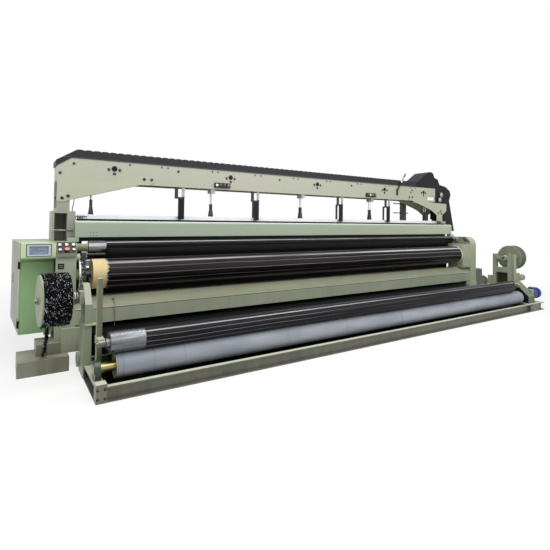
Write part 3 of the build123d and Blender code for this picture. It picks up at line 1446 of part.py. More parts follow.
def make_left_reel():
    """Left waste reel on its column, turned a little towards the weaver."""
    x1 = sill_left - BEAM_WIDTH + LEFT_STAND_WIDTH
    x0 = sill_left - BEAM_WIDTH
    y0, y1 = REEL_STAND_FRONT, REEL_STAND_FRONT + REEL_STAND_DEPTH
    stand = section_x(
        [
            (y0, SILL_HEIGHT),
            (y0, LEFT_STAND_LOW),
            (y0 + 150, LEFT_STAND_TOP),
            (y1, LEFT_STAND_TOP),
            (y1, SILL_HEIGHT),
        ],
        x0,
        x1,
    )
    stand += block(x1, x1 + 10, y0, y0 + 60, LEFT_STAND_SHELF, LEFT_STAND_LOW)
    stand += block(x0, x1 + LEDGE_REACH, y0 - 30, y0 + 60, LEFT_STAND_SHELF - 10, LEFT_STAND_SHELF)
    stand += block(x0 - 12, x0, y0, y1, 20, LEFT_STAND_SHELF)
    stand += bar_x(x0 - 39, x0 - 12, y1 - 50, 140, 70)
    centre_y = y0 + REEL_STAND_DEPTH / 2
    bearing_left = x0 - LEFT_BEARING_LENGTH
    place = Pos(bearing_left, centre_y, LEFT_REEL_Z) * Rot(0, 0, LEFT_REEL_YAW)
    housing = block(bearing_left, x0, centre_y - 60, centre_y + 60, LEFT_REEL_Z - 60, LEFT_REEL_Z + 60)
    bore = bar_x(-20, 200, 0, 0, REEL_SHAFT_RADIUS + RUNNING_CLEARANCE)
    stand = stand + housing - place * bore
    keep("reel_stand_left", stand)

    gap = LEFT_REEL_NECK
    length = LEFT_REEL_LENGTH
    core = bar_x(-length, -gap, 0, 0, REEL_CORE_RADIUS)
    core += bar_x(-gap, -14, 0, 0, REEL_CORE_RADIUS - 18)
    core += bar_x(-gap / 2 - 12, -gap / 2 + 2, 0, 0, REEL_CORE_RADIUS - 4)
    flange = bar_x(-length, -length + REEL_FLANGE_THICKNESS, 0, 0, LEFT_REEL_RADIUS)
    shaft = bar_x(-length - 30, 90, 0, 0, REEL_SHAFT_RADIUS)
    nut = bar_x(-length - 16, -length, 0, 0, 32)
    keep("waste_reel_left", place * (core + flange + shaft + nut))
    roll = winding(-length + REEL_FLANGE_THICKNESS, -gap, LEFT_WINDING_RADIUS)
    keep("waste_winding_left", place * roll)


def make_selvedge_tail():
    """Loose strand of waste that hangs from the left winding down to the foot block."""
    route = Spline(*[(x - inner, y, z) for x, y, z in TAIL_ROUTE])
    strand = sweep(Plane(route @ 0, z_dir=route % 0) * Circle(TAIL_RADIUS), path=route)
    keep("selvedge_tail", strand)


def make_right_reel():
    """Right waste reel on its portal, with the small gear unit that turns it."""
    x0, x1 = right_stand_x, right_stand_x + RIGHT_STAND_WIDTH
    y0, y1 = RIGHT_STAND_FRONT, REEL_STAND_FRONT + REEL_STAND_DEPTH
    post = RIGHT_STAND_POST
    stand = block(x0, x1, y0, y1, SILL_HEIGHT, RIGHT_STAND_TOP)
    bar_top = RIGHT_STAND_BAR + RIGHT_STAND_BAR_HEIGHT
    seat = RIGHT_REEL_Z - 30
    stand -= block(x0 - 1, x1 + 1, y0 + post, y1 - post, bar_top, seat)
    stand -= block(x0 - 1, x1 + 1, y0 + post, y1 - post, seat + 60, RIGHT_STAND_TOP + 1)
    stand -= block(x0 - 1, x1 + 1, y0 + post, y1 - post, SILL_HEIGHT + 120, RIGHT_STAND_BAR)
    centre_y = (y0 + y1) / 2
    stand += bar_x(x0, x1, centre_y, RIGHT_REEL_Z, 48)
    stand -= bar_x(x0 - 1, x1 + 1, centre_y, RIGHT_REEL_Z, REEL_SHAFT_RADIUS + RUNNING_CLEARANCE)
    stand += block(x0 - 35, x1, y1, y1 + 80, 350, 512)
    keep("reel_stand_right", stand)

    reel_left = x1 + RIGHT_REEL_GAP
    reel_right = reel_left + RIGHT_REEL_LENGTH
    reel = bar_x(x0 - 15, reel_right + 20, centre_y, RIGHT_REEL_Z, REEL_SHAFT_RADIUS)
    reel += bar_x(reel_left, reel_right, centre_y, RIGHT_REEL_Z, REEL_CORE_RADIUS)
    for x in (reel_left, reel_right - REEL_FLANGE_THICKNESS):
        reel += bar_x(x, x + REEL_FLANGE_THICKNESS, centre_y, RIGHT_REEL_Z, RIGHT_REEL_RADIUS)
    keep("waste_reel_right", reel)
    thickness = REEL_FLANGE_THICKNESS
    roll = winding(reel_left + thickness, reel_right - thickness, RIGHT_WINDING_RADIUS)
    keep("waste_winding_right", Pos(0, centre_y, RIGHT_REEL_Z) * roll)

    unit = block(x1, x1 + 130, y0, y0 + 110, 390, 590)
    unit = fillet(unit.edges().filter_by(Axis.X), 20)
    unit += bar_x(x1 + 130, x1 + 320, y0 + 55, 490, 62)
    keep("reel_gear_unit", unit)


def make_main_drive():
    """Gear casing and ribbed motor beside the right side frame, standing on the floor."""
    x0 = outer
    x1 = x0 + MAIN_BOX_WIDTH
    y0, y1 = MAIN_BOX_FRONT, MAIN_BOX_FRONT + MAIN_BOX_DEPTH
    above_step = FOOT_HEIGHT + FOOT_STEP_HEIGHT
    casing = block(x0, x1, y0, y1, above_step, MAIN_BOX_TOP)
    casing = fillet(casing.edges().filter_by(Axis.X), 26)
    beyond_foot = -foot_left + 10
    leg = block(beyond_foot, x1, y0 + 40, y1 - 40, 0, above_step + 40)
    motor = finned_motor(x1, MAIN_MOTOR_LENGTH, MAIN_MOTOR_Y, MAIN_MOTOR_Z, MAIN_MOTOR_RADIUS)
    keep("main_drive", casing + leg + motor)


def main():
    make_side_frames()
    make_foot_blocks()
    make_cross_members()
    make_guide_roller()
    make_take_up_roller()
    make_roller_bearings()
    make_cloth_web()
    make_fascia()
    make_sley()
    make_healds()
    make_heald_guides()
    make_bridge()
    make_gussets()
    make_columns()
    make_end_hood()
    make_signal_lamp()
    make_stations()
    make_cabinet()
    make_operator_boxes()
    make_warp_side()
    make_stand_base()
    make_rollers()
    make_stand_drive()
    make_left_reel()
    make_selvedge_tail()
    make_right_reel()
    make_main_drive()
    os.makedirs("parts", exist_ok=True)
    for name, solids in nodes.items():
        shape = solids[0] if len(solids) == 1 else Compound(children=list(solids))
        export_step(shape, "parts/" + name + ".step")


main()
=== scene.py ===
"""Looks of an extra-wide power loom with its overhead bridge and cloth batching stand.

Every piece is placed in the loom's own millimetres (x along the loom, y from the weaver
to the back, z up from the floor) and handed to Blender in metres in the frame's axes.
"""

import logging
import math
import random
from dataclasses import dataclass, field
from enum import Enum
from typing import Any, Iterable, Protocol, Sequence

import bpy
from mathutils import Matrix, Vector


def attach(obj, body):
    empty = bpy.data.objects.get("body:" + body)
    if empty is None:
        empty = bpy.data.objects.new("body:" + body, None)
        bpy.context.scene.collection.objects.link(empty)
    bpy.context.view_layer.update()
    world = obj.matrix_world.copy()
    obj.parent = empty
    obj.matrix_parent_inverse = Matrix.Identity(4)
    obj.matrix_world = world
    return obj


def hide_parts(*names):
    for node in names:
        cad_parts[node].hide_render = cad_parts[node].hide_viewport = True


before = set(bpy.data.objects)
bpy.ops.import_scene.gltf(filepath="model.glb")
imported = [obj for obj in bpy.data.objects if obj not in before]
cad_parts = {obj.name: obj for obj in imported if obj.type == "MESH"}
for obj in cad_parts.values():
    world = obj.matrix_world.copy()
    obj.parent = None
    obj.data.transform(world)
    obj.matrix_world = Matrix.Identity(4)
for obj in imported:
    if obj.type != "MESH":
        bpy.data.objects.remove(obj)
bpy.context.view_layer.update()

logging.basicConfig(level=logging.INFO, format="%(levelname)s %(message)s")
log = logging.getLogger("loom")

# The middle of the loom's floor plan, in the loom's own millimetres
PLAN_MIDDLE = (200.0, 98.5)

Point = tuple[float, float, float]
Socket = bpy.types.NodeSocket
Tree = bpy.types.ShaderNodeTree


def place(x: float, y: float, z: float) -> Vector:
    """Gives a point of the loom in the frame's metres.

    Args:
        x: millimetres along the loom from its middle.
        y: millimetres to the back from the front face of the fell line.
        z: millimetres above the floor.

    Returns:
        The point in metres.
    """
    return Vector((x - PLAN_MIDDLE[0], y - PLAN_MIDDLE[1], z)) / 1000


def linear(code: str) -> tuple[float, float, float, float]:
    """Turns an sRGB hex colour into a linear one.

    Args:
        code: six hex digits, with or without a leading hash.

    Returns:
        Red, green, blue and an alpha of 1.
    """
    digits = code.lstrip("#")
    channels = [int(digits[start : start + 2], 16) / 255 for start in (0, 2, 4)]
    red, green, blue = (
        value / 12.92 if value <= 0.04045 else ((value + 0.055) / 1.055) ** 2.4
        for value in channels
    )
    return (red, green, blue, 1.0)


def per_metre(millimetres: float) -> float:
    """Gives the pattern scale whose features are about that many millimetres across."""
    return 1000.0 / millimetres


def add(
    tree: Tree,
    kind: str,
    settings: dict[Any, Any] | None = None,
    links: dict[Any, Socket] | None = None,
) -> bpy.types.Node:
    """Adds one node to a material.

    Args:
        tree: the material's node tree.
        kind: the node's type, such as ShaderNodeTexNoise.
        settings: node properties by name, or socket values by socket name or number.
        links: what feeds each socket, by socket name or number.

    Returns:
        The new node.
    """
    node = tree.nodes.new(kind)
    for key, value in (settings or {}).items():
        if isinstance(key, int) or key in node.inputs.keys():
            node.inputs[key].default_value = value
        else:
            setattr(node, key, value)
    for key, source in (links or {}).items():
        tree.links.new(source, node.inputs[key])
    return node


class Along(Enum):
    """The directions that a coat or a seam may follow, in the loom's axes."""

    LOOM = (1.0, 0.0, 0.0)
    DEPTH = (0.0, 1.0, 0.0)
    HEIGHT = (0.0, 0.0, 1.0)
    DESK_SLOPE = (0.0, -1.0, 1.0)

    def metres(self, millimetres: float) -> float:
        """Turns a place along this direction into the frame's metres."""
        x, y, _ = self.value
        return (millimetres - x * PLAN_MIDDLE[0] - y * PLAN_MIDDLE[1]) / 1000


class Pattern(Protocol):
    """Anything that says where on a surface a coat shows."""

    def share(self, tree: Tree, at: Socket) -> Socket:
        """Gives 0 where the coat is absent, up to 1 where it is full."""


@dataclass(frozen=True)
class Patches:
    """Cloudy patches of one size, such as stains, runs, scuffs, tufts or grain."""

    size_mm: float
    start: float = 0.35
    full: float = 0.7
    most: float = 1.0
    stretch: Point = (1.0, 1.0, 1.0)
    detail: float = 4.0

    def share(self, tree: Tree, at: Socket) -> Socket:
        """Builds the pattern.

        Args:
            tree: the material's node tree.
            at: the coordinates on the surface.

        Returns:
            Its share.
        """
        run = add(tree, "ShaderNodeMapping", {"Scale": self.stretch}, {"Vector": at})
        cloud = add(
            tree,
            "ShaderNodeTexNoise",
            {"Scale": per_metre(self.size_mm), "Detail": self.detail, "Roughness": 0.55},
            {"Vector": run.outputs["Vector"]},
        )
        ends = {"From Min": self.start, "From Max": self.full, "To Max": self.most}
        return add(tree, "ShaderNodeMapRange", ends, {"Value": cloud.outputs["Fac"]}).outputs[0]


@dataclass(frozen=True)
class Granules:
    """Pressed granules of one size, dark where they meet."""

    size_mm: float
    most: float = 1.0

    def share(self, tree: Tree, at: Socket) -> Socket:
        """Builds the pattern from its cells."""
        cells = add(tree, "ShaderNodeTexVoronoi", {"Scale": per_metre(self.size_mm)}, {"Vector": at})
        ends = {"From Min": 0.25, "From Max": 0.7, "To Max": self.most}
        return add(tree, "ShaderNodeMapRange", ends, {"Value": cells.outputs["Distance"]}).outputs[0]


@dataclass(frozen=True)
class Ribs:
    """Even ribs across the loom's length, such as a weave's threads."""

    pitch_mm: float

    def share(self, tree: Tree, at: Socket) -> Socket:
        """Builds the pattern from its waves."""
        settings = {"Scale": per_metre(self.pitch_mm) / math.tau, "bands_direction": "X", "Distortion": 0.4}
        return add(tree, "ShaderNodeTexWave", settings, {"Vector": at}).outputs["Fac"]


@dataclass(frozen=True)
class Facing:
    """Where the surface turns toward one direction, such as up, between two cosines."""

    toward: Along
    start: float
    full: float
    most: float = 1.0

    def share(self, tree: Tree, at: Socket) -> Socket:
        """Builds the pattern.

        Args:
            tree: the material's node tree.
            at: the coordinates on the surface, which it doesn't need.

        Returns:
            Its share.
        """
        normal = add(tree, "ShaderNodeNewGeometry").outputs["Normal"]
        turned = add(
            tree, "ShaderNodeVectorMath", {"operation": "DOT_PRODUCT", 1: self.toward.value}, {0: normal}
        )
        ends = {"From Min": self.start, "From Max": self.full, "To Max": self.most}
        return add(tree, "ShaderNodeMapRange", ends, {"Value": turned.outputs["Value"]}).outputs[0]


@dataclass(frozen=True)
class Reach:
    """How a coat comes in along one direction, from nothing at one place to full at another."""

    direction: Along
    start_mm: float
    full_mm: float
    most: float = 1.0
    least: float = 0.0

    def share(self, tree: Tree, at: Socket) -> Socket:
        """Builds the pattern.

        Args:
            tree: the material's node tree.
            at: the coordinates on the surface.

        Returns:
            Its share.
        """
        spot = add(
            tree, "ShaderNodeVectorMath", {"operation": "DOT_PRODUCT", 1: self.direction.value}, {0: at}
        )
        ends = {
            "From Min": self.direction.metres(self.start_mm),
            "From Max": self.direction.metres(self.full_mm),
            "To Min": self.least,
            "To Max": self.most,
        }
        return add(tree, "ShaderNodeMapRange", ends, {"Value": spot.outputs["Value"]}).outputs[0]


@dataclass(frozen=True)
class Seams:
    """Lines across one direction at given places: seams, grooves, rings or a printed foil."""

    direction: Along
    places_mm: tuple[float, ...]
    half_width_mm: float = 2.0
    most: float = 0.8

    def share(self, tree: Tree, at: Socket) -> Socket:
        """Builds the pattern.

        Args:
            tree: the material's node tree.
            at: the coordinates on the surface.

        Returns:
            Its share.
        """
        spot = add(
            tree, "ShaderNodeVectorMath", {"operation": "DOT_PRODUCT", 1: self.direction.value}, {0: at}
        ).outputs["Value"]
        nearest: Socket | None = None
        for place_mm in self.places_mm:
            away = add(
                tree,
                "ShaderNodeMath",
                {"operation": "SUBTRACT", 1: self.direction.metres(place_mm)},
                {0: spot},
            )
            gap = add(tree, "ShaderNodeMath", {"operation": "ABSOLUTE"}, {0: away.outputs[0]}).outputs[0]
            if nearest is not None:
                links = {0: nearest, 1: gap}
                gap = add(tree, "ShaderNodeMath", {"operation": "MINIMUM"}, links).outputs[0]
            nearest = gap
        half = self.half_width_mm / 1000
        ends = {"From Min": half, "From Max": half * 1.6, "To Min": self.most, "To Max": 0.0}
        return add(tree, "ShaderNodeMapRange", ends, {"Value": nearest}).outputs[0]


@dataclass(frozen=True)
class Turns:
    """The joints of tape wound on a roller at an even pitch."""

    pitch_mm: float
    half_width_mm: float
    most: float = 0.6

    def share(self, tree: Tree, at: Socket) -> Socket:
        """Builds the pattern.

        Args:
            tree: the material's node tree.
            at: the coordinates on the surface.

        Returns:
            Its share.
        """
        x = add(tree, "ShaderNodeSeparateXYZ", links={0: at}).outputs["X"]
        settings = {"operation": "PINGPONG", 1: self.pitch_mm / 1000}
        saw = add(tree, "ShaderNodeMath", settings, {0: x}).outputs[0]
        ends = {"From Max": self.half_width_mm / 1000, "To Min": self.most, "To Max": 0.0}
        return add(tree, "ShaderNodeMapRange", ends, {"Value": saw}).outputs[0]


@dataclass(frozen=True)
class CreaseHighlights:
    """Painted highlight lines that run along a wound roller at even angles and wander a little."""

    count: int
    axis_y_mm: float
    axis_z_mm: float
    half_width: float = 0.012
    most: float = 0.75

    def share(self, tree: Tree, at: Socket) -> Socket:
        """Builds the pattern.

        Args:
            tree: the material's node tree.
            at: the coordinates on the surface.

        Returns:
            Its share.
        """
        middle = (0.0, -Along.DEPTH.metres(self.axis_y_mm), -Along.HEIGHT.metres(self.axis_z_mm))
        round_axis = add(tree, "ShaderNodeMapping", {"Location": middle}, {"Vector": at})
        split = add(tree, "ShaderNodeSeparateXYZ", links={0: round_axis.outputs[0]}).outputs
        angle = add(tree, "ShaderNodeMath", {"operation": "ARCTAN2"}, {0: split["Y"], 1: split["Z"]})
        along = add(tree, "ShaderNodeMapping", {"Scale": (1.0, 0.0, 0.0)}, {"Vector": at})
        drift = add(
            tree,
            "ShaderNodeTexNoise",
            {"Scale": per_metre(2400), "Detail": 2.0},
            {"Vector": along.outputs[0]},
        )
        turn = {"operation": "MULTIPLY_ADD", 1: self.count / math.tau}
        lines = add(tree, "ShaderNodeMath", turn, {0: angle.outputs[0], 2: drift.outputs["Fac"]})
        saw = add(tree, "ShaderNodeMath", {"operation": "PINGPONG", 1: 0.5}, {0: lines.outputs[0]})
        ends = {
            "From Min": self.half_width,
            "From Max": self.half_width * 2.5,
            "To Min": self.most,
            "To Max": 0.0,
        }
        return add(tree, "ShaderNodeMapRange", ends, {"Value": saw.outputs[0]}).outputs[0]


@dataclass(frozen=True)
class Coat:
    """One colour over those below it, wherever all of its patterns show."""

    colour: str
    where: tuple[Pattern, ...]
    metallic: float | None = None
    roughness: float | None = None

    def share(self, tree: Tree, at: Socket) -> Socket:
        """Multiplies its patterns.

        Args:
            tree: the material's node tree.
            at: the coordinates on the surface.

        Returns:
            Where the coat shows.
        """
        whole = self.where[0].share(tree, at)
        for pattern in self.where[1:]:
            links = {0: whole, 1: pattern.share(tree, at)}
            whole = add(tree, "ShaderNodeMath", {"operation": "MULTIPLY"}, links).outputs[0]
        return whole


@dataclass(frozen=True)
class Relief:
    """Fine unevenness of a surface, which only catches the light."""

    pattern: Pattern
    depth_mm: float
    strength: float = 0.3


@dataclass(frozen=True)
class Surface:
    """A whole surface: its lowest coat, the coats over it, its gloss and its relief."""

    name: str
    body: str
    coats: tuple[Coat, ...] = ()
    relief: tuple[Relief, ...] = ()
    roughness: float = 0.45
    dull_spots: Pattern | None = None
    duller_by: float = 0.15
    metallic: float = 0.0
    other: tuple[tuple[str, float], ...] = ()
    glow: float = 0.0

    def channels(self, tree: Tree, at: Socket) -> dict[str, Socket]:
        """Builds what varies over the surface.

        Args:
            tree: the material's node tree.
            at: the coordinates on the surface.

        Returns:
            What feeds each of the shader's sockets.
        """
        links: dict[str, Socket] = {}
        if self.dull_spots is not None:
            ends = {"To Min": self.roughness, "To Max": self.roughness + self.duller_by}
            links["Roughness"] = add(
                tree, "ShaderNodeMapRange", ends, {"Value": self.dull_spots.share(tree, at)}
            ).outputs[0]
        for coat in self.coats:
            shows = coat.share(tree, at)
            levels = {
                "Base Color": ("RGBA", 6, 2, linear(self.body), linear(coat.colour)),
                "Metallic": ("FLOAT", 2, 0, self.metallic, coat.metallic),
                "Roughness": ("FLOAT", 2, 0, self.roughness, coat.roughness),
            }
            for channel, (kind, first, result, below, above) in levels.items():
                if above is None:
                    continue
                feeds = {0: shows, first: links[channel]} if channel in links else {0: shows}
                settings = {"data_type": kind, first: below, first + 1: above}
                links[channel] = add(tree, "ShaderNodeMix", settings, feeds).outputs[result]
        for layer in self.relief:
            feeds = {"Height": layer.pattern.share(tree, at)}
            if "Normal" in links:
                feeds["Normal"] = links["Normal"]
            settings = {"Strength": layer.strength, "Distance": layer.depth_mm / 1000}
            links["Normal"] = add(tree, "ShaderNodeBump", settings, feeds).outputs["Normal"]
        if self.glow and "Base Color" in links:
            links["Emission Color"] = links["Base Color"]
        return links

    def make(self) -> bpy.types.Material:
        """Builds the material."""
        material = bpy.data.materials.new(self.name)
        material.use_nodes = True
        tree = material.node_tree
        tree.nodes.clear()
        at = add(tree, "ShaderNodeTexCoord").outputs["Object"]
        settings: dict[Any, Any] = {
            "Base Color": linear(self.body),
            "Roughness": self.roughness,
            "Metallic": self.metallic,
            "Emission Color": linear(self.body),
            "Emission Strength": self.glow,
        }
        settings.update(self.other)
        shader = add(tree, "ShaderNodeBsdfPrincipled", settings, self.channels(tree, at))
        add(tree, "ShaderNodeOutputMaterial", links={"Surface": shader.outputs["BSDF"]})
        return material


class Finish(Protocol):
    """What every finish has: the real surface's name and a way to make its material."""

    name: str

    def make(self) -> bpy.types.Material:
        """Builds the material."""


@dataclass(frozen=True)
class Enamel:
    """Air-dried alkyd enamel sprayed on sheet steel or on rough castings.

    It gives an even satin colour with slow changes of shade, a faint orange peel, rubbed
    paler patches, tops painted paler (partly lint, partly painted light from above), and greasy lint in runs
    low down.
    """

    name: str
    body: str
    rubbed: str
    grime: str
    roughness: float = 0.42
    cloud_mm: float = 520.0
    peel_mm: float = 14.0
    peel_depth_mm: float = 0.5
    grime_top_mm: float = 700.0
    grime_share: float = 0.55
    lit_and_dusty_top: str = ""
    lit_and_dusty_top_over_mm: float = 0.0
    gloss: float = 0.5
    trim: tuple[Coat, ...] = ()

    def make(self) -> bpy.types.Material:
        """Builds the material."""
        clouds = Patches(self.cloud_mm)
        coats = [Coat(self.rubbed, (clouds,))]
        # Tops are painted paler: partly lint, partly painted light from above
        if self.lit_and_dusty_top:
            over = Reach(Along.HEIGHT, self.lit_and_dusty_top_over_mm - 12, self.lit_and_dusty_top_over_mm)
            coats.append(Coat(self.lit_and_dusty_top, (Facing(Along.HEIGHT, 0.55, 0.9), over)))
        runs = Patches(70, 0.42, 0.72, stretch=(1.0, 1.0, 0.12), detail=5)
        low = Reach(Along.HEIGHT, 0, self.grime_top_mm, most=0.05, least=self.grime_share)
        coats.append(Coat(self.grime, (runs, low)))
        coats.append(Coat(self.rubbed, (Patches(26, 0.66, 0.74, 0.35, (0.25, 1.0, 1.0), 6),)))
        return Surface(
            self.name,
            self.body,
            tuple(coats) + self.trim,
            (Relief(Patches(self.peel_mm, 0.0, 1.0, detail=3), self.peel_depth_mm, 0.35),),
            self.roughness - 0.05,
            clouds,
            other=(("Specular IOR Level", self.gloss),),
        ).make()


@dataclass(frozen=True)
class TurnedMetal:
    """A bare metal bar, turned or ground: fine rings run round it and dull stains lie along it."""

    name: str
    metal: str
    dull: str
    roughness: float = 0.22
    ring_mm: float = 5.0
    ring_depth_mm: float = 0.12
    streak_mm: float = 60.0
    streak_most: float = 1.0

    def make(self) -> bpy.types.Material:
        """Builds the material."""
        rings = Patches(self.ring_mm, 0.3, 0.7, stretch=(1.0, 0.03, 0.03), detail=3)
        stains = Patches(self.streak_mm, 0.4, 0.68, self.streak_most, (0.08, 1.0, 1.0), 5)
        return Surface(
            self.name,
            self.metal,
            (Coat(self.dull, (stains,)),),
            (Relief(rings, self.ring_depth_mm, 0.25),),
            self.roughness - 0.06,
            rings,
            0.18,
            metallic=1.0,
        ).make()


@dataclass(frozen=True)
class RoughCasting:
    """Grey iron as cast, oiled and dusted with lint: dark and grainy, brighter on its worn spots."""

    name: str
    iron: str
    bright: str
    roughness: float = 0.4
    metallic: float = 0.7

    def make(self) -> bpy.types.Material:
        """Builds the material."""
        grain = Patches(5, 0.3, 0.7)
        return Surface(
            self.name,
            self.iron,
            (Coat(self.bright, (Patches(30, 0.45, 0.62, detail=5),)),),
            (Relief(grain, 0.6, 0.5),),
            self.roughness,
            grain,
            0.25,
            metallic=self.metallic,
        ).make()


@dataclass(frozen=True)
class Moulding:
    """Polypropylene, ABS or glass fibre from a mould: soft sheen, fine grain, lint on what faces up."""

    name: str
    body: str
    dust: str
    roughness: float = 0.5
    grain_mm: float = 6.0
    dusty: float = 0.35
    gloss: float = 0.2
    trim: tuple[Coat, ...] = ()

    def make(self) -> bpy.types.Material:
        """Builds the material."""
        lint = Patches(180, 0.3, 0.7, detail=5)
        top = Facing(Along.HEIGHT, 0.3, 1.0, self.dusty)
        dust = Coat(self.dust, (lint, top), roughness=self.roughness + 0.2)
        grain = Relief(Patches(self.grain_mm, 0.0, 1.0, detail=3), 0.3, 0.3)
        gloss = (("Specular IOR Level", self.gloss),)
        return Surface(
            self.name, self.body, (dust, *self.trim), (grain,), self.roughness, other=gloss
        ).make()


@dataclass(frozen=True)
class Knob:
    """Push-button caps and lenses moulded in glossy ABS or acrylic: clean colour, sharp highlight."""

    name: str
    body: str
    shade: str
    roughness: float = 0.25
    glow: float = 0.0

    def make(self) -> bpy.types.Material:
        """Builds the material."""
        wear = Coat(self.shade, (Patches(9, 0.4, 0.75),))
        coat = (("Coat Weight", 0.4),)
        return Surface(self.name, self.body, (wear,), (), self.roughness, other=coat, glow=self.glow).make()


@dataclass(frozen=True)
class CoatedCloth:
    """Black coated nylon wound under tension.

    It is nearly black with a silky gloss. Its threads are 0.4 mm apart, too fine to show,
    so the weave is drawn 4 mm apart. Its folds carry a painted sheen and painted highlight lines.
    """

    name: str
    body: str = "#040304"
    sheen: str = "#0F0D10"
    roughness: float = 0.2
    gloss: float = 0.07
    weave_mm: float = 4.0
    fold_mm: float = 34.0
    fold_depth_mm: float = 3.0
    crease_highlights: CreaseHighlights | None = None
    painted_highlight_colour: str = "#C4C0C6"

    def make(self) -> bpy.types.Material:
        """Builds the material."""
        folds = Patches(self.fold_mm, 0.3, 0.75, stretch=(0.03, 1.0, 1.0))
        # The folds' sheen colour is a painted sheen
        coats = [Coat(self.sheen, (folds,))]
        if self.crease_highlights is not None:
            # Painted highlight lines along the creases and a painted highlight band across the crown
            faint = Patches(160, 0.3, 0.56, most=0.9, stretch=(0.05, 1.0, 1.0), detail=3)
            coats.append(Coat(self.painted_highlight_colour, (self.crease_highlights, faint)))
            crown_highlight = (Facing(Along.HEIGHT, 0.7, 0.76), Facing(Along.HEIGHT, 0.85, 0.79))
            coats.append(Coat(self.painted_highlight_colour, (*crown_highlight, faint)))
        relief = (Relief(folds, self.fold_depth_mm, 0.5), Relief(Ribs(self.weave_mm), 0.15, 0.3))
        # A dark soft coating throws back less than bare plastic would
        weak = (("Specular IOR Level", self.gloss),)
        return Surface(
            self.name, self.body, tuple(coats), relief, self.roughness, folds, 0.2, other=weak
        ).make()


@dataclass(frozen=True)
class FrayedWaste:
    """Torn selvedge waste: short fibres of polyester, black or raw white, matt with a fuzzy sheen."""

    name: str
    body: str
    tip: str
    sheen: float = 0.15

    def make(self) -> bpy.types.Material:
        """Builds the material."""
        return Surface(
            self.name,
            self.body,
            (Coat(self.tip, (Patches(12, 0.4, 0.7, detail=5),)),),
            (Relief(Patches(7, 0.0, 1.0), 2.0, 0.6),),
            0.75,
            other=(("Sheen Weight", self.sheen), ("Specular IOR Level", 0.1)),
        ).make()


class Body(Enum):
    """The rigid bodies that pieces ride on."""

    LOOM = "loom"
    TAKE_UP = "take_up"
    GUIDE = "guide"
    WARP = "warp"
    BATCH = "batch"
    REEL_LEFT = "reel_left"
    REEL_RIGHT = "reel_right"


@dataclass
class Finishes:
    """Every finish on the loom, made once and handed to the sub-assemblies."""

    made: dict[str, bpy.types.Material] = field(default_factory=dict)

    def get(self, finish: Finish) -> bpy.types.Material:
        """Gives a finish's material, and builds it the first time."""
        if finish.name not in self.made:
            self.made[finish.name] = finish.make()
        return self.made[finish.name]


# Enamels: satin, clouded, rubbed pale where hands and lint pass
SAGE = Enamel(
    "sage enamel on sheet steel", "#A5A894", "#ABA99D", "#7D7F68", cloud_mm=1500.0, lit_and_dusty_top="#C6CBB4"
)
# Behind the bridge's rear sheet the same enamel is painted dark as shade
GUSSET_SAGE = Enamel(
    "sage enamel on gusset plate",
    "#A6AB92",
    "#ADAE9B",
    "#7D7F68",
    lit_and_dusty_top="#C6CBB4",
    trim=(Coat("#4A4C42", (Reach(Along.DEPTH, 722, 726),)),),
)
COLUMN_SAGE = Enamel("sage enamel on rolled column", "#8D8F83", "#989A8E", "#5F6055")
# The fascia's top lip is painted paler as a painted highlight, and its right part is painted lighter as
# painted light falling brighter there
FASCIA_GREEN = Enamel(
    "pale green enamel on folded sheet", "#939F8D", "#9BA796", "#858F7C", cloud_mm=1400.0, lit_and_dusty_top="#D9E0D0",
    trim=(Coat("#B3BDAA", (Reach(Along.LOOM, 900.0, 3300.0, 0.7),)),),
)
# A lap joint runs along the welded beam under its slope
BEAM_GREEN = Enamel(
    "pale green enamel on welded beam",
    "#96A08A",
    "#A3A893",
    "#777B66",
    lit_and_dusty_top="#A9A78C",
    trim=(
        Coat("#8A8468", (Facing(Along.HEIGHT, 0.3, 0.6), Patches(60, 0.5, 0.7, 0.5, (0.03, 1.0, 1.0), 4))),
        Coat("#BDBA9F", (Facing(Along.HEIGHT, 0.3, 0.6), Patches(40, 0.56, 0.68, 0.45, (0.03, 1.0, 1.0), 4))),
        Coat("#4E5345", (Seams(Along.HEIGHT, (551.0,), 4.0, 0.85),)),
        # A painted highlight line runs just below the joint's edge
        Coat("#C2C6B0", (Seams(Along.HEIGHT, (543.0,), 2.0, 0.5),)),
    ),
)
CAST_GREEN = Enamel(
    "sage enamel on cast iron", "#9BA38A", "#A9AF97", "#6B6E58", peel_mm=30.0, peel_depth_mm=1.4
)
DOOR_GREEN = Enamel("leaf green enamel on door sheet", "#84A575", "#90B082", "#6E8C60", roughness=0.36)
SCREEN_GREEN = Enamel("light green enamel on screen housing", "#B6C39A", "#C0CBA6", "#8E9B78", roughness=0.38)
STAND_OLIVE = Enamel(
    "olive enamel on rolled channel",
    "#616053",
    "#6E6D5F",
    "#45433A",
    grime_top_mm=160.0,
    lit_and_dusty_top="#C6CAB4",
    lit_and_dusty_top_over_mm=110.0,
    peel_mm=24.0,
    peel_depth_mm=0.9,
)
STAND_SAGE = Enamel(
    "sage enamel on stand plates", "#868E76", "#949A83", "#60634D", grime_top_mm=400.0, lit_and_dusty_top="#BCC2A6"
)
FLANGE_SAGE = Enamel("sage enamel on reel flange", "#787F69", "#878C76", "#5A5D49", lit_and_dusty_top="#A9AC94")
FOOT_ENAMEL = Enamel(
    "weathered enamel on foot casting",
    "#7A7A67",
    "#929283",
    "#504E3D",
    grime_top_mm=300.0,
    grime_share=0.7,
    lit_and_dusty_top="#A3A290",
    peel_mm=40.0,
    peel_depth_mm=2.0,
)
PILLOW_GREEN = Enamel("dark green enamel on plummer block", "#2F4238", "#425548", "#1D241F", roughness=0.3)
MOTOR_BLUE = Enamel(
    "blue enamel on finned motor", "#133173", "#1E4488", "#101D38", roughness=0.34, gloss=0.35
)
# The guide posts' front faces are painted darker than their sides, as painted shade
POST_SAGE = Enamel(
    "sage enamel on guide posts",
    "#868E76",
    "#949A83",
    "#60634D",
    lit_and_dusty_top="#BCC2A6",
    trim=(Coat("#62644F", (Facing(Along.DEPTH, -0.5, -0.9),)),),
)
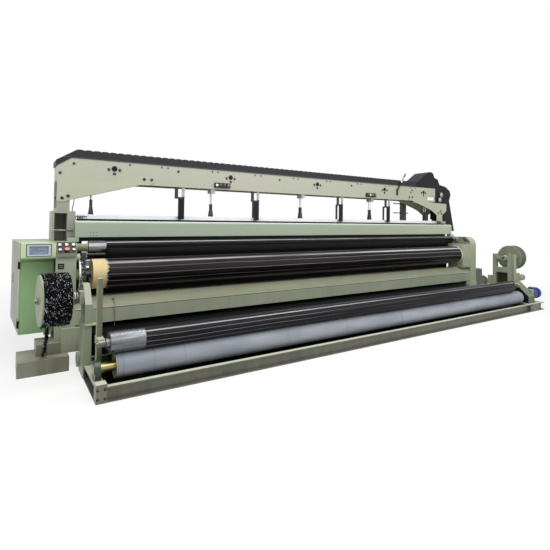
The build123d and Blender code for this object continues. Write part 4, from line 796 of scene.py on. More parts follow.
# Its shaft, left of the flange, is painted dark and half metallic, as painted shade
REEL_SAGE = Enamel(
    "sage enamel on right reel",
    "#787F69",
    "#878C76",
    "#5A5D49",
    lit_and_dusty_top="#A9AC94",
    trim=(Coat("#35342C", (Reach(Along.LOOM, 4078.0, 4076.0),), 0.5, 0.45),),
)
# The stand's back sheet is painted near black as shade
STAND_SHADE_SHEET = Enamel("olive enamel on stand sheet painted dark as shade", "#262B1C", "#343826", "#171A10", gloss=0.2)
DRIVE_GREEN = Enamel("grey green enamel on gear casing", "#4C5248", "#5A6154", "#3A3D34", grime_top_mm=600.0)
REEL_GEAR_SAGE = Enamel(
    "sage enamel on small gear casing", "#7F8873", "#8F9682", "#4C4F42", lit_and_dusty_top="#B2B8A2"
)
BLACK_SHEET = Enamel("black enamel on sheet steel", "#0E0D10", "#19181B", "#232220", roughness=0.4, gloss=0.2)
# The cabinet's left side keeps an older, paler coat and its top is painted paler, partly the older coat and
# partly painted light from above; a folded joint crosses the side
CABINET_SIDE = Enamel(
    "leaf green enamel on cabinet sheet",
    "#84A877",
    "#92B484",
    "#6E9060",
    roughness=0.4,
    trim=(
        Coat("#7F8272", (Facing(Along.LOOM, -0.5, -0.8),)),
        Coat("#D3D6C2", (Facing(Along.LOOM, -0.5, -0.8), Reach(Along.DEPTH, -96, -98))),
        Coat("#A5A98F", (Facing(Along.HEIGHT, 0.6, 0.9, 0.8),)),
        Coat("#5B5E4C", (Seams(Along.HEIGHT, (800.0,), 2.0), Facing(Along.LOOM, -0.5, -0.8))),
        Coat("#777F6D", (Patches(60, 0.55, 0.75, 0.3, (1.0, 1.0, 0.1), 5),)),
    ),
)
# The guard's inner side, toward the rollers, is painted black as shade
GUARD = Enamel(
    "sage and black enamel on chain guard",
    "#4E5340",
    "#5A5F4B",
    "#3C3E32",
    lit_and_dusty_top="#7C8068",
    trim=(Coat("#0B0B0D", (Facing(Along.LOOM, -0.4, -0.8),)),),
)
# The sloped faces of both push-button boxes and the socket plate carry a black printed foil
DESK = Enamel(
    "grey green enamel with black foil",
    "#757969",
    "#828773",
    "#5C5F50",
    gloss=0.25,
    trim=(
        Coat(
            "#0C0B0D",
            (
                Seams(Along.DESK_SLOPE, (1447.0,), 3.0, 1.0), Reach(Along.LOOM, -3701, -3700),
                Reach(Along.LOOM, -3523, -3524)
            ),
            roughness=0.3,
        ),
        Coat(
            "#0C0B0D",
            (
                Seams(Along.DESK_SLOPE, (1415.0,), 3.0, 1.0), Reach(Along.LOOM, 3333, 3334),
                Reach(Along.LOOM, 3507, 3506)
            ),
            roughness=0.3,
        ),
        Coat("#0C0B0D", (Reach(Along.HEIGHT, 1061, 1060),), roughness=0.35),
    ),
)
# White enamelled alloy rails, black clevises above them and drawn steel rods above those
HEALD_DRESS = Surface(
    "white enamelled rail with black clevises",
    "#FFFFFF",
    (
        Coat("#F1F4FA", (Patches(200, 0.35, 0.7, detail=5),)),
        Coat("#18181B", (Reach(Along.HEIGHT, 1566, 1568),)),
        Coat("#B9BABA", (Reach(Along.HEIGHT, 1746, 1748),), metallic=1.0),
    ),
    (Relief(Patches(8, 0.0, 1.0), 0.2, 0.2),),
    0.38,
)
# Hangers painted grey: the one at each fork's left is nearly black, the strips below are black plastic
FORK_DRESS = Surface(
    "grey hangers with black plastic strips",
    "#B1B3AF",
    (
        Coat("#94978F", (Patches(40, 0.4, 0.7),)),
        Coat("#303136", (Seams(Along.LOOM, (-2231.0, -1051.0, 643.0, 1829.0), 24.0, 1.0),)),
        Coat("#303136", (Reach(Along.HEIGHT, 1829, 1827),)),
        Coat("#08080A", (Reach(Along.HEIGHT, 1801, 1799), Reach(Along.DEPTH, 476, 474))),
    ),
    (Relief(Patches(9, 0.0, 1.0), 0.3, 0.25),),
    0.42,
    other=(("Specular IOR Level", 0.2),),
)
# A bright plate inside the notch of the bridge
WHITE_SHEET = Enamel("white enamel on liner sheet", "#F2F3EF", "#E4E6DF", "#C9CCC0")
# Mouldings: black, with a dusty top
# The black cover carries a painted highlight line along one ridge
BLACK_COVER = Moulding(
    "black corrugated polypropylene",
    "#17151A",
    "#39373C",
    dusty=0.25,
    gloss=0.3,
    trim=(Coat("#55535A", (Seams(Along.HEIGHT, (2238.0,), 2.5, 0.7),)),),
)
BLACK_HOOD = Moulding("black glass-fibre hood", "#161519", "#2B292E", roughness=0.42, gloss=0.15)
BLACK_ABS = Moulding("black moulded ABS", "#09090B", "#17171A", roughness=0.35)
GREY_ABS = Moulding("grey moulded ABS", "#A6A8AA", "#BABCBE", roughness=0.4)
BEZEL = Moulding("blue grey moulded bezel", "#3D525C", "#566A73", roughness=0.35)
PALE_BEZEL = Moulding("pale grey moulded bezel", "#B3C1C8", "#C3CDD2", roughness=0.35)
# Bare metals: rings from the tool, stains along the bar
# On the chrome tube the long dark stains also stand for painted dark reflection bands
CHROME_BAR = TurnedMetal(
    "hard chromed steel tube", "#7E8085", "#45474B", roughness=0.25, ring_depth_mm=0.04, streak_mm=34.0,
    streak_most=0.8
)
STEEL_BAR = TurnedMetal("turned steel", "#8E8F8D", "#5E5E5A", roughness=0.34)
ZINC = TurnedMetal("zinc plated steel", "#9C9C94", "#6D6B62", roughness=0.36, ring_mm=9.0)
BRIGHT_ZINC = TurnedMetal("bright zinc plated steel", "#C6C7C2", "#8E8E88", roughness=0.3, ring_mm=9.0)
BRASS = TurnedMetal("cast brass nut", "#8E865C", "#6A6442", roughness=0.34)
DRAWN_ROD = TurnedMetal("drawn steel rod", "#C4C5C4", "#95958F", roughness=0.35)
IRON = RoughCasting("oiled grey iron casting", "#3C3E3C", "#7C7E7C")
BLACK_BOLT = RoughCasting("blackened steel bolt", "#141414", "#3A3A38", roughness=0.35)
# Caps, lenses and glass
# The white cap glows faintly as painted light, though it is no lamp
WHITE_CAP = Knob("white acrylic cap", "#E9E6D6", "#D2CDB8", glow=0.1)
GREY_CAP = Knob("pale grey acrylic cap", "#B9BDB9", "#9EA29E")
RED_CAP = Knob("red ABS cap", "#B4102F", "#8E0C26")
GREEN_CAP = Knob("green acrylic cap", "#1F9A5C", "#17794A")
BLACK_CAP = Knob("black ABS cap", "#17181B", "#26272B")
RED_LENS = Knob("dark red acrylic lens", "#7E1426", "#63101E")
ORANGE_LENS = Knob("orange acrylic lens", "#E8641A", "#D05512")
BLUE_LENS = Knob("dark blue acrylic lens", "#1B2C86", "#142268")
# The glass is painted darker toward its top as shade under the hood
SCREEN = Surface(
    "display glass over pale fields",
    "#6B7B8B",
    (
        Coat("#8797A5", (Patches(38, 0.45, 0.6, 0.8, (0.6, 1.0, 1.4)),)),
        Coat("#55677A", (Reach(Along.HEIGHT, 1180, 1226, 0.7),)),
    ),
    (),
    0.22,
    glow=0.02,
)
# Cloth and yarn
CLOTH = CoatedCloth(
    "black coated nylon on take-up roller",
    body="#090506",
    sheen="#1C1516",
    gloss=0.12,
    crease_highlights=CreaseHighlights(14, -140.0, 915.0, 0.024, 0.5),
)
CLOTH_FINE = CoatedCloth(
    "black coated nylon on guide roller", sheen="#0C0C0E", fold_mm=60.0, fold_depth_mm=1.0, gloss=0.06,
    crease_highlights=CreaseHighlights(9, 50.0, 1192.0, 0.012, 0.3),
)
CLOTH_LOOSE = CoatedCloth(
    "black coated nylon on batch roller",
    body="#08070A",
    sheen="#1B191E",
    gloss=0.12,
    fold_mm=26.0,
    roughness=0.24,
    crease_highlights=CreaseHighlights(13, -1160.0, 428.2, 0.024, 0.4),
)
CLOTH_FLAT = CoatedCloth("black coated nylon in open width", fold_mm=80.0, roughness=0.45)
YARN = CoatedCloth(
    "black filament yarn on warp beam", body="#17171A", sheen="#2E2E33", weave_mm=6.0, roughness=0.5
)
# Left end of the lagging, in the loom's own millimetres
CORK_END = -3361.0

# Cork and rubber tape wound on the gripping roller: tan granules of 3 mm, drawn at 7 mm,
# with a darker joint at each turn and a pale rim at the right end
CORK = Surface(
    "cork lagging on gripping roller",
    "#DECB9C",
    (
        Coat("#B08C52", (Granules(7, 0.3),)),
        Coat("#C9AE78", (Patches(120, 0.4, 0.75, 0.5, (1.0, 0.5, 0.5), 5),)),
        Coat("#8A6A38", (Turns(95.0, 2.5),)),
        Coat("#E4E2C0", (Reach(Along.LOOM, 3157, 3158),)),
        Coat("#4A4642", (Reach(Along.LOOM, CORK_END, CORK_END - 2.0),), 0.9, 0.4),
    ),
    (Relief(Granules(7), 0.8, 0.5),),
    0.72,
)
# Matt blue-grey rubber cover, scuffed in thin rings and long rubs; bright bronze journals beyond it
RUBBER_COVER = Surface(
    "blue grey rubber cover",
    "#80868F",
    (
        Coat("#9CA1A8", (Patches(150, 0.35, 0.7, stretch=(0.2, 1.0, 1.0), detail=5),)),
        Coat("#6A7079", (Patches(90, 0.6, 0.7, 0.5, (1.0, 0.02, 0.02), 6),)),
        Coat("#565B63", (Seams(Along.LOOM, (-3304.0, -2986.0, -2696.0, 2986.0, 3186.0, 3386.0), 2.5, 0.55),)),
        Coat("#98905E", (Reach(Along.LOOM, -3315, -3316),), metallic=1.0, roughness=0.3),
        Coat("#98905E", (Reach(Along.LOOM, 3485, 3486),), metallic=1.0, roughness=0.3),
    ),
    (Relief(Patches(60, 0.0, 1.0, stretch=(1.0, 0.1, 0.1)), 0.3, 0.25),),
    0.48,
)
# Waste: shaggy black, raw white tufts and a neat oily rope
BLACK_WASTE = FrayedWaste("black selvedge waste", "#030304", "#0D0C12", sheen=0.0)
WHITE_WASTE = FrayedWaste("white selvedge waste", "#E6E6EA", "#B6B6C0")
PALE_WASTE = FrayedWaste("pale wound selvedge", "#565A4F", "#6C7064")


def around(centre: Point, radius: float, angle: float) -> Point:
    """Gives a point of an upright circle that faces along the loom.

    Args:
        centre: the circle's middle.
        radius: the circle's radius.
        angle: the angle in radians, from the rear and upwards.

    Returns:
        The point on the circle.
    """
    return centre[0], centre[1] + radius * math.cos(angle), centre[2] + radius * math.sin(angle)


@dataclass
class Shape:
    """A mesh under construction, in the loom's millimetres, with one finish for each face."""

    name: str
    points: list[Point] = field(default_factory=list)
    faces: list[tuple[int, ...]] = field(default_factory=list)
    finish_of: list[int] = field(default_factory=list)
    finishes: list[Finish] = field(default_factory=list)
    smooth_of: list[bool] = field(default_factory=list)

    def put(
        self, points: Sequence[Point], faces: Iterable[Sequence[int]], finish: Finish, smooth: bool = False
    ) -> None:
        """Adds points and the faces between them.

        Args:
            points: the new points.
            faces: faces that number the new points from 0.
            finish: the finish of these faces.
            smooth: whether they are shaded smooth.
        """
        if finish not in self.finishes:
            self.finishes.append(finish)
        start = len(self.points)
        self.points.extend(points)
        for face in faces:
            self.faces.append(tuple(start + corner for corner in face))
            self.finish_of.append(self.finishes.index(finish))
            self.smooth_of.append(smooth)

    def lathe(
        self,
        profile: Sequence[tuple[float, float]],
        axis_point: Point,
        direction: Vector,
        finish: Finish,
        turns: int = 24,
        closed: bool = True,
        smooth: bool = True,
    ) -> None:
        """Turns a profile about an axis.

        Args:
            profile: (distance along the axis, radius) pairs.
            axis_point: where the axis starts.
            direction: the axis.
            finish: the finish.
            turns: how many steps go round.
            closed: whether the two ends are capped.
            smooth: whether it is shaded smooth.
        """
        along = direction.normalized()
        side = along.orthogonal().normalized()
        other = along.cross(side)
        base = Vector(axis_point)
        points: list[Point] = []
        for distance, radius in profile:
            for step in range(turns):
                angle = 2 * math.pi * step / turns
                spot = base + along * distance + (side * math.cos(angle) + other * math.sin(angle)) * radius
                points.append(tuple(spot))
        faces: list[Sequence[int]] = []
        for ring in range(len(profile) - 1):
            for step in range(turns):
                following = (step + 1) % turns
                a, b = ring * turns, (ring + 1) * turns
                faces.append((a + step, a + following, b + following, b + step))
        self.put(points, faces, finish, smooth)
        if closed:
            last = (len(profile) - 1) * turns
            self.put(points[:turns], [tuple(range(turns))[::-1]], finish)
            self.put(points[last:], [tuple(range(turns))], finish)

    def plate(
        self, low: Point, high: Point, finish: Finish, edge: float = 1.5, turn: Matrix | None = None
    ) -> None:
        """Adds a plate with chamfered edges.

        Args:
            low: the lowest corner.
            high: the highest corner.
            finish: the finish.
            edge: the chamfer.
            turn: a rotation about the plate's middle.
        """
        centre = Vector([(a + b) / 2 for a, b in zip(low, high)])
        half = Vector([(b - a) / 2 for a, b in zip(low, high)])
        edge = min(edge, min(half) * 0.6)
        points: list[Point] = []
        index: dict[tuple[int, int, int, int], int] = {}
        for sx in (-1, 1):
            for sy in (-1, 1):
                for sz in (-1, 1):
                    for axis in range(3):
                        offset = [half[0] - edge, half[1] - edge, half[2] - edge]
                        offset[axis] = half[axis]
                        spot = Vector((sx * offset[0], sy * offset[1], sz * offset[2]))
                        if turn is not None:
                            spot = turn @ spot
                        index[(sx, sy, sz, axis)] = len(points)
                        points.append(tuple(centre + spot))
        faces: list[tuple[int, ...]] = []
        for axis in range(3):
            first, second = [other for other in range(3) if other != axis]
            for sign in (-1, 1):
                loop = []
                for a, b in ((-1, -1), (1, -1), (1, 1), (-1, 1)):
                    key = [0, 0, 0]
                    key[axis], key[first], key[second] = sign, a, b
                    loop.append(index[(key[0], key[1], key[2], axis)])
                faces.append(tuple(loop))
        for axis in range(3):
            first, second = [other for other in range(3) if other != axis]
            for a in (-1, 1):
                for b in (-1, 1):
                    loop = []
                    for sign, face_axis in ((-1, first), (1, first), (1, second), (-1, second)):
                        key = [0, 0, 0]
                        key[axis], key[first], key[second] = sign, a, b
                        loop.append(index[(key[0], key[1], key[2], face_axis)])
                    faces.append(tuple(loop))
        for sx in (-1, 1):
            for sy in (-1, 1):
                for sz in (-1, 1):
                    faces.append(tuple(index[(sx, sy, sz, axis)] for axis in range(3)))
        self.put(points, faces, finish)

    def bolt(self, spot: Point, direction: Vector, radius: float, finish: Finish, washer: Finish) -> None:
        """Adds a hexagon bolt head on its washer.

        Args:
            spot: the middle of the seat.
            direction: out of the seat.
            radius: the head's radius across its corners.
            finish: the head's finish.
            washer: the washer's finish.
        """
        self.lathe(
            [(0, radius * 1.45), (radius * 0.16, radius * 1.45), (radius * 0.22, radius * 1.35)], spot,
            direction, washer, 16, smooth=False
        )
        self.lathe(
            [(radius * 0.22, radius), (radius * 0.75, radius), (radius * 0.9, radius * 0.82)],
            spot,
            direction,
            finish,
            6,
            smooth=False,
        )

    def bolt_ring(
        self, centre: Point, ring: float, first_deg: float, count: int, direction: Vector, radius: float
    ) -> None:
        """Adds evenly spaced zinc bolts on an upright ring that faces along the loom.

        Args:
            centre: the ring's middle.
            ring: the ring's radius.
            first_deg: the angle of the first bolt, from the rear and upwards.
            count: how many bolts the ring has.
            direction: the way that the heads stand out.
            radius: the radius of a bolt's head.
        """
        for number in range(count):
            spot = around(centre, ring, math.radians(first_deg + 360 / count * number))
            self.bolt(spot, direction, radius, ZINC, IRON)

    def tube(self, route: Sequence[Point], radius: float, finish: Finish, turns: int = 8) -> None:
        """Adds a round bar bent along a route.

        Args:
            route: the points that the bar's middle follows.
            radius: the bar's radius.
            finish: the finish.
            turns: how many faces go round.
        """
        spots = [Vector(spot) for spot in route]
        points: list[Point] = []
        side = Vector((0, 0, 1))
        for number, spot in enumerate(spots):
            before = spots[max(number - 1, 0)]
            after = spots[min(number + 1, len(spots) - 1)]
            along = (after - before).normalized()
            side = (side - along * side.dot(along))
            side = side.normalized() if side.length > 1e-4 else along.orthogonal().normalized()
            other = along.cross(side)
            for step in range(turns):
                angle = 2 * math.pi * step / turns
                points.append(tuple(spot + (side * math.cos(angle) + other * math.sin(angle)) * radius))
        faces: list[tuple[int, ...]] = []
        for ring in range(len(spots) - 1):
            for step in range(turns):
                following = (step + 1) % turns
                a, b = ring * turns, (ring + 1) * turns
                faces.append((a + step, a + following, b + following, b + step))
        last = (len(spots) - 1) * turns
        faces.append(tuple(range(turns))[::-1])
        faces.append(tuple(last + step for step in range(turns)))
        self.put(points, faces, finish, True)

    def object(self, finishes: Finishes, body: Body, slot: str) -> bpy.types.Object:
        """Makes the Blender object and fixes it to its body.

        Args:
            finishes: where materials come from.
            body: the body that it rides on.
            slot: not used.

        Returns:
            The object.
        """
        mesh = bpy.data.meshes.new(self.name)
        mesh.from_pydata([place(*spot) for spot in self.points], [], self.faces)
        for finish in self.finishes:
            mesh.materials.append(finishes.get(finish))
        mesh.polygons.foreach_set("material_index", self.finish_of)
        mesh.polygons.foreach_set("use_smooth", self.smooth_of)
        mesh.validate()
        mesh.update()
        piece = bpy.data.objects.new(self.name, mesh)
        bpy.context.scene.collection.objects.link(piece)
        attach(piece, body.value)
        log.info("%s: %d faces on %s", self.name, len(self.faces), body.value)
        return piece


X_AXIS = Vector((1, 0, 0))
FRONT = Vector((0, -1, 0))
UP = Vector((0, 0, 1))


@dataclass
class CadNodes:
    """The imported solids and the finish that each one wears."""

    finishes: Finishes
    worn: tuple[tuple[Finish, tuple[str, ...]], ...] = (
        (SAGE, ("bridge_panels",)),
        (GUSSET_SAGE, ("bridge_gussets",)),
        (COLUMN_SAGE, ("bridge_columns",)),
        (CAST_GREEN, ("side_frame_right", "side_frame_left", "roller_bearings", "rear_cross_beams")),
        (STAND_SAGE, ("reel_stand_left", "reel_stand_right", "drive_gearbox")),
        (STAND_OLIVE, ("cross_sills", "left_sill_beam", "right_sill_beam")),
        (POST_SAGE, ("guide_posts", "batch_carriages")),
        (FLANGE_SAGE, ("waste_reel_left",)),
        (REEL_SAGE, ("waste_reel_right",)),
        (FOOT_ENAMEL, ("foot_blocks",)),
        (BEAM_GREEN, ("breast_beam",)),
        (FASCIA_GREEN, ("fascia",)),
        (PILLOW_GREEN, ("roller_pillow_blocks",)),
        (MOTOR_BLUE, ("drive_motor",)),
        (DRIVE_GREEN, ("main_drive",)),
        (REEL_GEAR_SAGE, ("reel_gear_unit",)),
        (CABINET_SIDE, ("control_cabinet",)),
        (DOOR_GREEN, ("cabinet_door",)),
        (SCREEN_GREEN, ("screen_hood",)),
        (DESK, ("operator_boxes",)),
        (GUARD, ("chain_guard",)),
        (BLACK_SHEET, ("sley",)),
        (HEALD_DRESS, ("heald_frame_front", "heald_frame_rear")),
        (FORK_DRESS, ("heald_guides",)),
        (BLACK_COVER, ("bridge_cover",)),
        (BLACK_HOOD, ("end_hood",)),
        (BLACK_ABS, ("signal_lamp", "bridge_stations")),
        (IRON, ("take_up_gear", "take_up_pinion")),
        (STEEL_BAR, ("warp_beam", "back_rest_roller")),
        (CHROME_BAR, ("guide_roller", "batch_roller")),
        (CORK, ("take_up_roller",)),
        (RUBBER_COVER, ("drive_roller",)),
        (CLOTH_FINE, ("guide_roller_cloth",)),
        (CLOTH, ("take_up_cloth",)),
        (CLOTH_LOOSE, ("batch_cloth",)),
        (CLOTH_FLAT, ("cloth_web",)),
        (YARN, ("warp_yarn",)),
        (BLACK_WASTE, ("waste_winding_left", "selvedge_tail")),
        (PALE_WASTE, ("waste_winding_right",)),
        (WHITE_CAP, ("button_top_left", "button_top_middle", "button_top_right")),
        (GREY_CAP, ("button_bottom_left", "button_bottom_right")),
        (RED_CAP, ("emergency_stop", "button_right_hand")),
    )

    def wear(self) -> None:
        """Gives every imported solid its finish."""
        for finish, names in self.worn:
            for name in names:
                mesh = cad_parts[name].data
                mesh.materials.clear()
                mesh.materials.append(self.finishes.get(finish))
                log.info("%s wears %s", name, finish.name)


@dataclass
class Studio:
    """Pale floor, soft lamps and the camera of the photograph."""

    eye: Point = (-4130.0, -5000.0, 1500.0)
    right: Point = (0.84, -0.543, 0.012)
    ahead: Point = (0.5423, 0.8399, 0.0231)
    focal_px: float = 413.24
    picture_px: float = 550.0
    horizon_px: float = 212.6
    floor_m: float = 60.0
    world_strength: float = 0.2
    key_watts: float = 320.0
    fill_watts: float = 215.0
    side_watts: float = 190.0
    tube_watts: float = 200.0
    shadow_share: float = 0.24
    shadow_end_m: tuple[float, float] = (4.6, 7.5)
    shade_left_mm: float = -3430.0
    shade_right_mm: float = 3620.0
    shade_front_mm: float = -1335.0
    shade_rear_mm: float = 1400.0
    shade_edge_mm: float = 60.0

    def camera(self) -> None:
        """Puts the camera where the photograph was taken."""
        ahead = Vector(self.ahead).normalized()
        right = Vector(self.right).normalized()
        up = right.cross(ahead).normalized()
        right = ahead.cross(up).normalized()
        lens = bpy.data.cameras.new("photo camera")
        lens.sensor_fit = "HORIZONTAL"
        lens.sensor_width = 36.0
        lens.lens = self.focal_px / self.picture_px * 36.0
        lens.shift_y = -(self.picture_px / 2 - self.horizon_px) / self.picture_px
        lens.clip_end = 200.0
        camera = bpy.data.objects.new("photo camera", lens)
        turned = Matrix((right, up, -ahead)).transposed().to_4x4()
        turned.translation = place(*self.eye)
        camera.matrix_world = turned
        bpy.context.scene.collection.objects.link(camera)
        bpy.context.scene.camera = camera

    def sees_white(self, tree: Tree) -> Socket:
        """Says which rays meet the white surround: the camera's, and those off gloss or through glass.

        Args:
            tree: the node tree of the floor or the world.

        Returns:
            1 for such a ray and 0 for the light on the object.
        """
        path = add(tree, "ShaderNodeLightPath").outputs
        first = {0: path["Is Camera Ray"], 1: path["Is Glossy Ray"]}
        either = add(tree, "ShaderNodeMath", {"operation": "MAXIMUM"}, first)
        second = {0: either.outputs[0], 1: path["Is Transmission Ray"]}
        return add(tree, "ShaderNodeMath", {"operation": "MAXIMUM"}, second).outputs[0]

    def floor(self) -> None:
        """Lays a plain pale floor that looks white and keeps the loom's shadow."""
        half = self.floor_m / 2
        mesh = bpy.data.meshes.new("studio_floor")
        mesh.from_pydata(
            [(-half, -half, 0), (half, -half, 0), (half, half, 0), (-half, half, 0)], [], [(0, 1, 2, 3)]
        )
        floor = bpy.data.objects.new("studio_floor", mesh)
        bpy.context.scene.collection.objects.link(floor)
        material = bpy.data.materials.new("pale studio floor")
        material.use_nodes = True
        tree = material.node_tree
        tree.nodes.clear()
        at = add(tree, "ShaderNodeTexCoord").outputs["Object"]
        edge = self.shade_edge_mm
        # Between the stand's sills and under the loom the floor lies in deep shade
        under = Coat(
            "#2E2C2A",
            (
                Reach(Along.LOOM, self.shade_left_mm, self.shade_left_mm + edge),
                Reach(Along.LOOM, self.shade_right_mm, self.shade_right_mm - edge),
                Reach(Along.DEPTH, self.shade_front_mm, self.shade_front_mm + edge / 2),
                Reach(Along.DEPTH, self.shade_rear_mm, self.shade_rear_mm - edge),
            ),
        )
        shaded = under.share(tree, at)
        paint = {"data_type": "RGBA", 6: linear("#F4F4F2"), 7: linear(under.colour)}
        colour = add(tree, "ShaderNodeMix", paint, {0: shaded}).outputs[2]
        lit = add(tree, "ShaderNodeBsdfDiffuse", links={"Color": colour})
        away = add(tree, "ShaderNodeVectorMath", {"operation": "LENGTH"}, {0: at}).outputs["Value"]
        near, far = self.shadow_end_m
        ends = {"From Min": near, "From Max": far, "To Min": 1.0 - self.shadow_share, "To Max": 1.0}
        plain = add(tree, "ShaderNodeMapRange", ends, {"Value": away}).outputs[0]
        open_floor = add(tree, "ShaderNodeMath", {"operation": "SUBTRACT", 0: 1.0}, {1: shaded}).outputs[0]
        share = add(tree, "ShaderNodeMath", {"operation": "MULTIPLY"}, {0: plain, 1: open_floor}).outputs[0]
        seen = {0: share, 1: self.sees_white(tree)}
        share = add(tree, "ShaderNodeMath", {"operation": "MULTIPLY"}, seen).outputs[0]
        white = add(tree, "ShaderNodeEmission", {"Color": (1, 1, 1, 1), "Strength": 1.0})
        both = add(tree, "ShaderNodeMixShader", links={0: share, 1: lit.outputs[0], 2: white.outputs[0]})
        add(tree, "ShaderNodeOutputMaterial", links={"Surface": both.outputs[0]})
        mesh.materials.append(material)

    def lamp(self, name: str, spot: Point, target: Point, size: tuple[float, float], watts: float) -> None:
        """Hangs one soft lamp.

        Args:
            name: the lamp's name.
            spot: where it hangs, in the loom's millimetres.
            target: what it points at.
            size: its two sides in metres.
            watts: its power.
        """
        light = bpy.data.lights.new(name, "AREA")
        light.shape = "RECTANGLE"
        light.size, light.size_y = size
        light.energy = watts
        lamp = bpy.data.objects.new(name, light)
        lamp.location = place(*spot)
        toward = (place(*target) - place(*spot)).normalized()
        lamp.rotation_mode = "QUATERNION"
        lamp.rotation_quaternion = toward.to_track_quat("-Z", "Y")
        bpy.context.scene.collection.objects.link(lamp)

    def world(self) -> None:
        """Gives an even pale surround that looks white."""
        world = bpy.data.worlds.new("studio")
        world.use_nodes = True
        tree = world.node_tree
        tree.nodes.clear()
        seen = self.sees_white(tree)
        soft = add(
            tree, "ShaderNodeBackground", {"Color": linear("#F2F4F7"), "Strength": self.world_strength}
        )
        white = add(tree, "ShaderNodeBackground", {"Color": (1, 1, 1, 1), "Strength": 1.0})
        both = add(tree, "ShaderNodeMixShader", links={0: seen, 1: soft.outputs[0], 2: white.outputs[0]})
        add(tree, "ShaderNodeOutputWorld", links={"Surface": both.outputs[0]})
        bpy.context.scene.world = world

    def build(self) -> None:
        """Sets the whole studio up."""
        bpy.context.scene.view_settings.view_transform = "Standard"
        self.camera()
        self.floor()
        self.world()
        self.lamp("key", (-2500, -4500, 6500), (0, 0, 900), (6.0, 6.0), self.key_watts)
        self.lamp("fill", (3500, -6500, 4200), (1500, 0, 900), (6.0, 6.0), self.fill_watts)
        self.lamp("side", (-9500, -1500, 3200), (-3800, 300, 900), (4.0, 4.0), self.side_watts)
        self.lamp("hall tubes", (200, -900, 5600), (200, -600, 0), (10.0, 0.7), self.tube_watts)


@dataclass(frozen=True)
class Roll:
    """One roller's covering: where its axis is, how thick it is and where it starts and ends."""

    name: str
    y: float
    z: float
    radius: float
    left: float
    right: float
    ragged: float
    body: Body
    node: str
    finish: Finish
    slot: str = "black_cloth"
    folds: float = 1.0
    fold_count: int = 15


